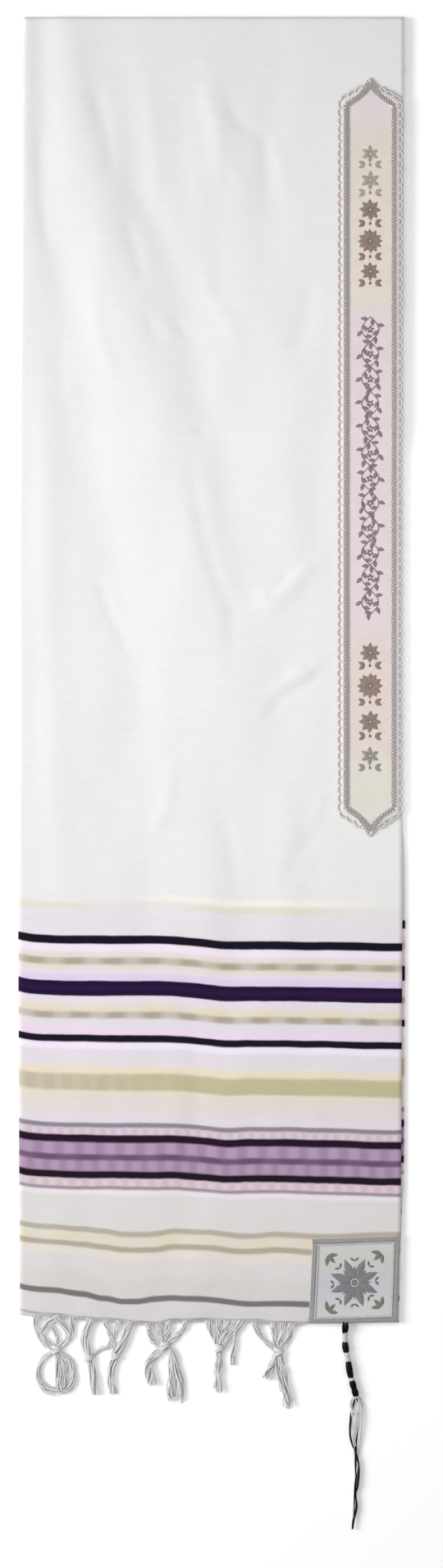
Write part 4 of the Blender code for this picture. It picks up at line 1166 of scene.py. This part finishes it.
def stitch_tree():
    """Geometry nodes that put a template on each vertex, turned and sized by the vertex's attributes."""
    tree, given, result = new_group("GeometryNodeTree", "stitches", ("Geometry", GEOMETRY), {
        "Geometry": (GEOMETRY, None),
        "Template": (OBJECT, None),
        "Unevenness": (FLOAT, 0.05),
        "Seed": (WHOLE, 1),
        "Material": (MATERIAL, None),
    })
    turn = add(tree, "GeometryNodeInputNamedAttribute", {"Name": "turn"}, data_type="FLOAT")
    size = add(tree, "GeometryNodeInputNamedAttribute", {"Name": "size"}, data_type="FLOAT_VECTOR")
    uneven = add(tree, "FunctionNodeRandomValue", {
        2: calc(tree, "MULTIPLY", given["Unevenness"], -1.0), 3: given["Unevenness"], 8: given["Seed"],
    }, 1, data_type="FLOAT")
    angles = add(tree, "ShaderNodeCombineXYZ", {"Z": calc(tree, "ADD", turn, uneven)})
    template = add(tree, "GeometryNodeObjectInfo", {"Object": given["Template"]}).node
    placed = add(tree, "GeometryNodeInstanceOnPoints", {
        "Points": given["Geometry"],
        "Instance": template.outputs["Geometry"],
        "Rotation": add(tree, "FunctionNodeEulerToRotation", {0: angles}),
        "Scale": size,
    })
    real = add(tree, "GeometryNodeRealizeInstances", {0: placed})
    shown = add(tree, "GeometryNodeSetMaterial", {"Geometry": real, "Material": given["Material"]})
    tree.links.new(shown, result)
    return tree


def kept(tree, geometry, name, value):
    """Geometry whose points keep a value under a name."""
    stored = {"Geometry": geometry, "Name": name, "Value": value}
    return add(tree, "GeometryNodeStoreNamedAttribute", stored, data_type="FLOAT", domain="POINT")


def yarn_tree():
    """Geometry nodes that give each line a round body, and keep the place along and around it."""
    tree, given, result = new_group("GeometryNodeTree", "yarn", ("Geometry", GEOMETRY), {
        "Geometry": (GEOMETRY, None),
        "Radius": (FLOAT, 0.0006),
        "Sides": (WHOLE, 6),
        "Material": (MATERIAL, None),
    })
    line = add(tree, "GeometryNodeMeshToCurve", {0: given["Geometry"]})
    line = kept(tree, line, "along", add(tree, "GeometryNodeSplineParameter", output=1))
    round_form = {"Resolution": given["Sides"], "Radius": given["Radius"]}
    circle = add(tree, "GeometryNodeCurvePrimitiveCircle", round_form)
    circle = kept(tree, circle, "around", add(tree, "GeometryNodeSplineParameter"))
    thick = add(tree, "GeometryNodeInputNamedAttribute", {"Name": "thick"}, data_type="FLOAT")
    line = add(tree, "GeometryNodeSetCurveRadius", {"Curve": line, "Radius": thick})
    body = add(tree, "GeometryNodeCurveToMesh", {"Curve": line, "Profile Curve": circle, "Fill Caps": True})
    body = add(tree, "GeometryNodeSetShadeSmooth", {"Geometry": body})
    shown = add(tree, "GeometryNodeSetMaterial", {"Geometry": body, "Material": given["Material"]})
    tree.links.new(shown, result)
    return tree


def grown(name, points, edges, attributes, tree, inputs):
    """The plain mesh that a tree of geometry nodes makes of points and edges with attributes."""
    base = bpy.data.meshes.new(name)
    base.from_pydata(np.asarray(points).tolist(), edges, [])
    for label, values in attributes.items():
        kind, field = ("FLOAT", "value") if np.ndim(values) == 1 else ("FLOAT_VECTOR", "vector")
        base.attributes.new(label, kind, "POINT").data.foreach_set(field, np.ravel(values).astype(float))
    obj = bpy.data.objects.new(name, base)
    bpy.context.scene.collection.objects.link(obj)
    modifier = obj.modifiers.new("form", "NODES")
    modifier.node_group = tree
    for item in tree.interface.items_tree:
        if item.in_out == "INPUT" and item.name in inputs:
            modifier[item.identifier] = inputs[item.name]
    bpy.context.view_layer.update()
    result = bpy.data.meshes.new_from_object(obj.evaluated_get(bpy.context.evaluated_depsgraph_get()))
    obj.modifiers.remove(modifier)
    obj.data = result
    result.name = name
    result.materials.clear()
    result.materials.append(inputs["Material"])
    return obj


STITCHES = stitch_tree()
YARN = yarn_tree()


def stitched(name, form, points, turns, sizes, material, unevenness, seed):
    """Copies of a template at points, each turned and sized."""
    inputs = {"Template": form, "Unevenness": unevenness, "Seed": seed, "Material": material}
    return grown(name, points, [], {"turn": turns, "size": sizes}, STITCHES, inputs)


def spun(name, lines, radius, material, sides=6, taper=0.0):
    """Round yarns along lines of points. With a taper, each yarn's last stretch gets thinner."""
    edges, thick, start = [], [], 0
    for line in lines:
        edges += [(start + step, start + step + 1) for step in range(len(line) - 1)]
        thick.append(1 - taper * smooth_step(TAPER_FROM, 1.0, np.linspace(0, 1, len(line))))
        start += len(line)
    inputs = {"Radius": radius, "Sides": sides, "Material": material}
    return grown(name, np.concatenate(lines), edges, {"thick": np.concatenate(thick)}, YARN, inputs)


def template(name, points, uv):
    """A template mesh that isn't shown itself."""
    points, uv = (np.stack(np.broadcast_arrays(*values), axis=-1) for values in (points, uv))
    faces = grid_faces(*points.shape[:2])[:, ::-1]
    obj = new_piece(name, points, faces, uv=uv.reshape(-1, 2))
    obj.hide_render = True
    return obj


def leaf_template():
    """A leaf of satin stitch, one long and one wide, its middle raised by one, in its own UV map."""
    along = np.linspace(0, 1, LEAF_GRID[0])[:, None]
    side = np.linspace(-1, 1, LEAF_GRID[1])
    half = 0.5 * np.sin(math.pi * along**LEAF_FULLNESS)
    height = np.sin(math.pi * along) ** 0.5 * (1 - side**2)
    return template("leaf", (along, half * side, height), (along, (side + 1) / 2))


def stitch_template():
    """One long stitch of thread, one long, one wide and one high, in its own UV map."""
    along = np.linspace(-0.5, 0.5, STITCH_GRID[0])[:, None]
    turn = np.linspace(0, math.pi, STITCH_GRID[1])
    swell = np.sqrt(1 - (STITCH_ENDS[0] * along) ** 4 * STITCH_ENDS[1])
    points = (along, -0.5 * swell * np.cos(turn), swell * np.sin(turn))
    return template("stitch", points, (along + 0.5, turn / math.pi))


def make_neckband(satin):
    """The neckband's cloth."""
    upper, uv = band_lattice(0, BAND_TOP)
    lower, _ = band_lattice(0, -GAP)
    return cloth_wall("neckband_cloth", upper, lower, uv, satin)


def make_plait(stitch, material, depth):
    """The dark plait in the middle of the neckband's braid, its stitches longer at the pointed ends."""
    points, directions = spaced(band_ring(BRAID_LINE), BRAID_PITCH, closed=True)
    lean = np.radians(np.where(np.arange(len(points)) % 2, PLAIT_LEAN, -PLAIT_LEAN))
    sizes = np.tile(PLAIT_STITCH, (len(points), 1))
    from_tip = np.minimum(points[:, 1] - NECKBAND_TIPS[0], NECKBAND_TIPS[1] - points[:, 1])
    sizes[:, 0] *= 1 + PLAIT_TIP_GROWTH * (1 - smooth_step(*PLAIT_TIP_REACH, from_tip))
    places = on_strip(points[:, 0], points[:, 1], depth - PLAIT_RISE)
    turns = directions + lean
    return stitched("braid_plait", stitch, places, turns, sizes, material, unevenness=0.10, seed=3)


def make_picots(material, depth):
    """Small loops along the outer edge of the neckband's braid, but for its two tips."""
    loops = []
    share = np.linspace(-1, 1, PICOT_STEPS)
    along = share * PICOT_PITCH * PICOT_HALF
    centres, directions = spaced(band_ring(PICOT_INSET), PICOT_PITCH, closed=True)
    for number, ((x, drop), direction) in enumerate(zip(centres, directions)):
        if abs(x - NECKBAND_X) < PICOT_PITCH:
            continue
        reach = PICOT_REACH * (1 + PICOT_UNEVENNESS * math.sin(PICOT_WAVE * number))
        reach = reach * (1 - share**2) ** PICOT_FULLNESS
        outward = direction + math.pi / 2
        loop_x = x + along * math.cos(direction) + reach * math.cos(outward)
        loop_drop = drop - along * math.sin(direction) - reach * math.sin(outward)
        loops.append(on_strip(loop_x, loop_drop, depth - PICOT_RISE - PICOT_STAGGER * (number % 2)))
    return spun("braid_picots", loops, PICOT_RADIUS, material)


def make_neckband_braid(materials, stitch):
    """The braid round the neckband: a flat base, a dark plait in its middle and a picot edge."""
    depth = BAND_TOP - GAP
    rings = []
    for share, rise in BRAID_PROFILE:
        path = band_ring(BRAID_SPAN[0] + share * (BRAID_SPAN[1] - BRAID_SPAN[0]))
        rings.append(on_strip(path[:, 0], path[:, 1], depth - rise))
    base = ring_wall("braid_base", rings, materials["braid"], BRAID_RIB)
    plait = make_plait(stitch, materials["plait thread"], depth)
    return base, plait, make_picots(materials["picot yarn"], depth)


def motif(name, leaf, rows, material, unevenness, seed):
    """Embroidered leaves, from rows of x from the neckband's middle, drop, turn, length and width."""
    table = np.array(rows, float)
    points = on_strip(NECKBAND_X + table[:, 0], table[:, 1], BAND_TOP)
    sizes = np.column_stack((table[:, 3:], np.full(len(table), LEAF_HEIGHT)))
    return stitched(name, leaf, points, np.radians(table[:, 2]), sizes, material, unevenness, seed)


def rosette(x, drop, petals, length, width, turn=0.0, start=0.0006):
    """Leaf rows of a flower round a centre."""
    rows = []
    for petal in range(petals):
        angle = turn + 360 * petal / petals
        away = math.radians(angle)
        rows.append((x + start * math.cos(away), drop - start * math.sin(away), angle, length, width))
    return rows


def flower_rows(flowers):
    """Leaf rows of flowers on the neckband's middle, each with four leaves and a bud under it."""
    rows = []
    for drop, petals, size in flowers:
        rows += rosette(0.0, drop, petals, *(size * share for share in PETAL), turn=90, start=PETAL_START)
        rows += rosette(0.0, drop, petals, *(size * share for share in STAMEN), turn=90 + 180 / petals)
        foot = drop + FOOT * size
        for side in (-1, 1):
            rows.append((side * FOOT_X, foot, 90 - side * FOOT_TURN, *FOOT_LEAF))
            rows.append((side * FOOT_X, foot, 270 + side * FOOT_TURN, *FOOT_LEAF))
        rows.append((0.0, foot + BUD_DROP, 90, *BUD))
    return rows


def make_neckband_motifs(materials, leaf):
    """Generic embroidery on the neckband: two leafy stems that cross, and flowers near both of its ends."""
    drops = np.linspace(*VINE_DROPS, VINE_STEPS)
    stems, leaves = [], []
    for side in (-1, 1):
        sway = side * VINE_SWAY * np.sin((drops - VINE_DROPS[0]) / VINE_PITCH * 2 * math.pi)
        stems.append(on_strip(NECKBAND_X + sway, drops, BAND_TOP - STEM_RISE * (1 + side)))
        slope = np.gradient(sway, drops)
        leaf_drops = np.arange(VINE_DROPS[0] + VINE_LEAF_START, VINE_DROPS[1], VINE_LEAF_PITCH)
        for number, drop in enumerate(leaf_drops):
            along = math.degrees(math.atan2(-1, float(np.interp(drop, drops, slope))))
            bend = VINE_LEAF_TURN if number % 2 else -VINE_LEAF_TURN
            leaves.append((float(np.interp(drop, drops, sway)), drop, along + bend, *VINE_LEAF))
    for number, drop in enumerate(np.arange(VINE_DROPS[0] + VINE_PITCH / 4, VINE_DROPS[1], VINE_PITCH / 2)):
        leaves += rosette(0.0, drop, *VINE_FLOWER, turn=90 + VINE_FLOWER_TURN * (number % 2))
    lilac = materials["lilac thread"]
    stem_yarn = spun("neckband_stems", stems, STEM_RADIUS, lilac)
    vine = motif("neckband_leaves", leaf, leaves, lilac, unevenness=0.15, seed=5)
    heads = []
    for shade, flowers in NECKBAND_FLOWERS.items():
        name, thread = f"neckband_{shade}_flowers", materials[f"{shade} thread"]
        heads.append(motif(name, leaf, flower_rows(flowers), thread, unevenness=0.08, seed=7))
    return stem_yarn, vine, *heads


def patch_lattice(depth):
    """Points across the corner patch at a depth, and their place in it."""
    down = np.linspace(0, 1, PATCH_STEPS)[:, None, None]
    across = np.linspace(0, 1, PATCH_STEPS)[None, :, None]
    top_left, top_right, low_right, low_left = PATCH_CORNERS
    flat = (
        (1 - down) * ((1 - across) * top_left + across * top_right)
        + down * ((1 - across) * low_left + across * low_right)
    )
    return on_strip(flat[..., 0], flat[..., 1], depth), flat - top_left


def border_stitches(name, inset, width, stitch, material, seed):
    """Satin stitches across the patch's border, in four straight runs at an inset from its edge."""
    out, half = inset + width, inset + width / 2
    top_left, top_right, low_right, low_left = PATCH_CORNERS
    runs = (
        (top_left + (inset, half), top_right + (-inset, half)),
        (low_left + (inset, -half), low_right + (-inset, -half)),
        (top_left + (half, out), low_left + (half, -out)),
        (top_right + (-half, out), low_right + (-half, -out)),
    )
    marks, directions = zip(*(spaced(run, PATCH_STITCH_PITCH) for run in runs))
    marks, turns = np.concatenate(marks), np.concatenate(directions) + math.pi / 2
    points = on_strip(marks[:, 0], marks[:, 1], BAND_TOP - PATCH_STITCH_RISE)
    sizes = np.tile((width, *PATCH_STITCH), (len(points), 1))
    return stitched(name, stitch, points, turns, sizes, material, unevenness=0.05, seed=seed)


def make_patch(materials, stitch, leaf):
    """The corner patch: its cloth, its satin border and a generic flower."""
    upper, uv = patch_lattice(BAND_TOP)
    lower, _ = patch_lattice(-GAP)
    cloth = cloth_wall("patch_cloth", upper, lower, uv, materials["patch"])
    border = border_stitches("patch_satin_border", 0, PATCH_SATIN, stitch, materials["border thread"], 11)
    pale = border_stitches("patch_pale_row", PATCH_SATIN, PATCH_PALE, stitch, materials["pale thread"], 12)
    centre = PATCH_CORNERS.mean(axis=0) - (NECKBAND_X, 0)
    rows = [row for ring in PATCH_FLOWER for row in rosette(*centre, *ring)]
    large = motif("patch_flower", leaf, rows, materials["slate thread"], unevenness=0.05, seed=13)
    rows = rosette(*centre, *PATCH_STAMENS)
    for side in (-1, 1):
        for level in (-1, 1):
            x, drop = centre + (side * CORNER_SPRIG[0], level * CORNER_SPRIG[1])
            away = math.degrees(math.atan2(-level, side))
            rows += [(x, drop, away + bend, *CORNER_SPRIG_LEAF) for bend in CORNER_SPRIG_TURNS]
    for x, drop, turn, *_ in rosette(*centre, RING_SPRIGS, 0, 0, start=RING_SPRIG_REACH):
        rows += [(x, drop, turn + bend, *RING_SPRIG_LEAF) for bend in RING_SPRIG_TURNS]
    small = motif("patch_sprigs", leaf, rows, materials["moss thread"], unevenness=0.05, seed=17)
    return cloth, (border, pale), large, small


def resting_height(beyond, radius, start):
    """Height of a strand's middle, which comes down from the hem to the surface."""
    low = radius + FLOOR_GAP
    return low + (start - low) * (1 - smooth_step(0, LANDING, beyond))


def lock_yarns(yarns, waypoints, rng):
    """Lines of the yarns of one lock: a loose bundle, gathered at its ends that meet a knot."""
    flat = curve_through(waypoints, LOCK_STEPS)
    ahead = np.gradient(flat, axis=0)
    ahead /= np.linalg.norm(ahead, axis=1)[:, None]
    aside = np.stack((-ahead[:, 1], ahead[:, 0]), axis=1)
    share = np.linspace(0, 1, len(flat))
    from_hem = waypoints[0][1] == 0
    width, growth = HEM_GATHER if from_hem else END_GATHER
    spread = LOCK_SPREAD * math.sqrt(yarns / 6) * (width + growth * share)
    turn = rng.uniform(0, 2 * math.pi)
    twist = rng.uniform(*LOCK_TWIST) * (1 if rng.random() < 0.5 else -1)
    lines = []
    for yarn in range(yarns):
        angle = turn + 2 * math.pi * yarn / yarns + twist * share
        wave = np.sin(rng.uniform(*YARN_WAVES) * math.pi * share + rng.uniform(0, 2 * math.pi))
        wide = spread * math.sqrt(rng.uniform(*LOCK_FILL))
        stray = rng.uniform(-1, 1) * YARN_STRAY * share**2
        shift = wide * np.cos(angle) + stray + YARN_WANDER * wave * smooth_step(0, WANDER_START, share)
        x, beyond = (flat + aside * shift[:, None]).T
        high = resting_height(beyond, YARN_RADIUS, YARN_START)
        high = high + LOCK_RISE * wide * (1 + np.sin(angle)) * smooth_step(LOCK_RISE_START, LANDING, beyond)
        kept_part = len(flat) if from_hem else round(len(flat) * rng.uniform(*YARN_LENGTHS))
        lines.append(past_hem(x, beyond, high)[:kept_part])
    return lines


def loose_fibres(lines, rng):
    """Fine fibres that stand off the yarns."""
    fibres = []
    share = np.linspace(0, 1, FIBRE_STEPS)[:, None]
    for line in lines:
        for _ in range(FIBRES_PER_YARN):
            start = rng.randrange(len(line) // FIBRE_FROM, len(line) - 2)
            ahead = line[start + 1] - line[start]
            ahead /= np.linalg.norm(ahead)
            aside = np.array((-ahead[1], ahead[0], 0.0)) * rng.choice((-1, 1))
            length, bow = rng.uniform(*FIBRE_LENGTHS), rng.uniform(*FIBRE_BOWS)
            fibre = line[start] + ahead * length * share + aside * (YARN_RADIUS + bow * share**1.5)
            rise = FIBRE_RISE * np.sin(FIBRE_WAVE * share[:, 0])
            fibre[:, 2] = np.maximum(fibre[:, 2] + rise, 2 * FIBRE_RADIUS)
            fibres.append(fibre)
    return fibres


def knot_line(x, beyond, lean):
    """A yarn wound round a bundle that runs away from the hem, flattened by its own weight."""
    angle = np.linspace(0, 2 * math.pi * KNOT_TURNS, round(KNOT_STEPS * KNOT_TURNS))
    down = np.linspace(-KNOT_LENGTH / 2, KNOT_LENGTH / 2, len(angle))
    side = KNOT_HALF_WIDTH * np.cos(angle)
    high = KNOT_HALF_HEIGHT * (1 + np.sin(angle)) + KNOT_RISE
    knot_x = x + side * math.cos(lean) - down * math.sin(lean)
    return past_hem(knot_x, beyond + down * math.cos(lean) + side * math.sin(lean), high)


def make_fringe(yarn):
    """The fringe: locks of twisted yarn gathered in knots, and a row of short loops at the hem."""
    rng = random.Random(21)
    lines = [line for lock in LOCKS for line in lock_yarns(*lock, rng)]
    locks = spun("fringe_locks", lines, YARN_RADIUS, yarn, sides=5, taper=LOCK_TAPER)
    fuzz = spun("fringe_fibres", loose_fibres(lines, rng), FIBRE_RADIUS, yarn, sides=3)
    wound = [knot_line(x, past + shift, lean) for x, past in FRINGE_KNOTS for shift, lean in KNOT_WINDS]
    knots = spun("fringe_knots", wound, KNOT_RADIUS, yarn, sides=8)
    loop = curve_through(HEM_LOOP, 4)
    places = np.arange(*FRINGE_X, HEM_LOOP_PITCH)
    edge = [past_hem(x + loop[:, 0], loop[:, 1], loop[:, 2]) for x in places]
    loops = spun("fringe_hem_loops", edge, HEM_LOOP_RADIUS, yarn, sides=5)
    return locks, fuzz, knots, loops


def tassel_route():
    """The wound cord's middle line, and how far past the hem each of its points lies."""
    flat = curve_through(TASSEL_ROUTE, TASSEL_STEPS)
    low = WINDING_RADIUS + WINDING_YARN + SWELLING + TASSEL_FLOOR_GAP
    high = low + (TASSEL_START - low) * (1 - smooth_step(*TASSEL_LANDING, flat[:, 1]))
    return past_hem(flat[:, 0], flat[:, 1], high), flat[:, 1]


def wound_round(line, beyond, start, end, radius, pitch, swellings=0):
    """A helix round the cord between two distances past the hem, wider where it swells."""
    along = np.concatenate(([0], np.cumsum(np.linalg.norm(np.diff(line, axis=0), axis=1))))
    first, last = np.interp((start, end), beyond, along)
    count = round((last - first) / pitch * WINDING_STEPS)
    marks = np.linspace(first, last, count)
    centre = np.stack([np.interp(marks, along, line[:, axis]) for axis in range(3)], axis=1)
    ahead = np.gradient(centre, axis=0)
    ahead /= np.linalg.norm(ahead, axis=1)[:, None]
    across = np.cross(ahead, (0, 0, 1))
    across /= np.linalg.norm(across, axis=1)[:, None]
    upward = np.cross(across, ahead)
    angle = 2 * math.pi * np.arange(count)[:, None] / WINDING_STEPS
    radius = radius + SWELLING * np.abs(np.sin(math.pi * swellings * np.linspace(0, 1, count)))[:, None]
    return centre + radius * (np.cos(angle) * across + np.sin(angle) * upward)


def loose_thread(waypoints, number, rises_at=None):
    """Line of a loose thread of the tassel, which lies on the surface or comes up over the others."""
    flat = curve_through(waypoints, THREAD_STEPS)
    share = np.linspace(0, 1, len(flat))
    if rises_at is None:
        waves, shift = LIGHT_THREAD_WAVES
        rest = LIGHT_THREAD_GAP + LIGHT_THREAD_RISE * (1 + np.sin(waves * share + shift * number))
    else:
        rest = DARK_THREAD_RISE * smooth_step(rises_at, rises_at + DARK_THREAD_REACH, flat[:, 1])
    rest = rest + THREAD_RADIUS
    high = THREAD_START + (rest - THREAD_START) * smooth_step(0, THREAD_LANDING, share)
    return past_hem(flat[:, 0], flat[:, 1], high)


def make_tassel(materials):
    """The corner tassel: a core wound in dark yarn between light knots, and its loose threads."""
    light, dark = materials["tassel light yarn"], materials["tassel dark yarn"]
    line, beyond = tassel_route()
    windings = [
        wound_round(line, beyond, start, end, WINDING_RADIUS, WINDING_PITCH, swellings)
        for start, end, swellings in WINDINGS
    ]
    knots = [
        wound_round(line, beyond, middle - TASSEL_KNOT_HALF, middle + TASSEL_KNOT_HALF, TASSEL_KNOT_RADIUS,
                    TASSEL_KNOT_PITCH)
        for middle in TASSEL_KNOTS
    ]
    dark_lines = [loose_thread(way, 0, rises_at) for rises_at, way in DARK_THREADS]
    light_lines = [loose_thread(way, number) for number, way in enumerate(LIGHT_THREADS, len(DARK_THREADS))]
    return (
        spun("tassel_core", [line[::4]], CORE_RADIUS, light, sides=10),
        spun("tassel_windings", windings, WINDING_YARN, dark),
        spun("tassel_knots", knots, TASSEL_KNOT_YARN, light, sides=7),
        spun("tassel_dark_threads", dark_lines, THREAD_RADIUS, dark, 7, THREAD_TAPER),
        spun("tassel_light_threads", light_lines, THREAD_RADIUS, light, 7, THREAD_TAPER),
    )


def make_camera():
    """A camera straight above the shawl."""
    data = bpy.data.cameras.new("camera")
    data.sensor_width = SENSOR
    data.lens = LENS
    camera = bpy.data.objects.new("camera", data)
    camera.location = (*CENTRE, PICTURE_HEIGHT * LENS / SENSOR + STACK_TWO)
    bpy.context.scene.collection.objects.link(camera)
    bpy.context.scene.camera = camera


def make_light(name, place_at, target, size, power):
    """A large soft light that points at a place on the floor."""
    data = bpy.data.lights.new(name, "AREA")
    data.shape = "DISK"
    data.size = size
    data.energy = power
    light = bpy.data.objects.new(name, data)
    light.location = place_at
    light.rotation_mode = "QUATERNION"
    light.rotation_quaternion = (Vector(place_at) - Vector((*target, 0))).to_track_quat("Z", "Y")
    bpy.context.scene.collection.objects.link(light)


def make_studio():
    """A plain pale floor that glows a little as painted light, soft light from the left and a fill from all
    round.
    """
    half = FLOOR_SIZE / 2
    points = [(x * half, y * half, -FLOOR_DEPTH) for x, y in ((-1, -1), (1, -1), (1, 1), (-1, 1))]
    material, _, shader = new_material("pale floor", FLOOR_ROUGHNESS)
    shader.inputs["Base Color"].default_value = colour(*FLOOR_COLOUR)
    # Painted light: the floor glows a little, which lightens the shadows cast on it
    shader.inputs["Emission Color"].default_value = (1.0, 1.0, 1.0, 1.0)
    shader.inputs["Emission Strength"].default_value = FLOOR_GLOW
    new_piece("floor", points, [(0, 1, 2, 3)], material)
    for light in LIGHTS:
        make_light(*light)
    world = bpy.data.worlds.new("studio")
    world.use_nodes = True
    fill = world.node_tree.nodes["Background"].inputs
    fill["Color"].default_value = (1.0, 1.0, 1.0, 1.0)
    fill["Strength"].default_value = FILL_LIGHT
    bpy.context.scene.world = world
    bpy.context.scene.view_settings.view_transform = "Standard"


def main():
    """Makes the scene and says how its pieces belong to the part."""
    make_camera()
    make_studio()
    materials = make_materials()
    leaf, stitch = leaf_template(), stitch_template()
    front = make_front(materials["cloth"])
    hidden = make_hidden(materials["cloth"])
    band = make_neckband(materials["band"])
    braid = make_neckband_braid(materials, stitch)
    motifs = make_neckband_motifs(materials, leaf)
    patch, border, *sprigs = make_patch(materials, stitch, leaf)
    fringe = make_fringe(materials["fringe yarn"])
    tassel = make_tassel(materials)
    for form in (leaf, stitch):
        bpy.data.objects.remove(form)

    slots = (
        ("cloth", (front, hidden)),
        ("neckband", (band, *motifs)),
        ("neckband_braid", braid),
        ("patch", (patch, *sprigs)),
        ("patch_border", border),
        ("fringe", fringe),
        ("tassel", tassel),
    )
    for slot, pieces in slots:
        for piece in pieces:
            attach(piece, "root")
    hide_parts("shawl_front")
    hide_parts("folded_layers")
    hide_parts("neckband")
    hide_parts("neckband_braid")
    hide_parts("corner_patch")
    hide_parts("patch_border")
    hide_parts("fringe")
    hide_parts("corner_tassel")


main()
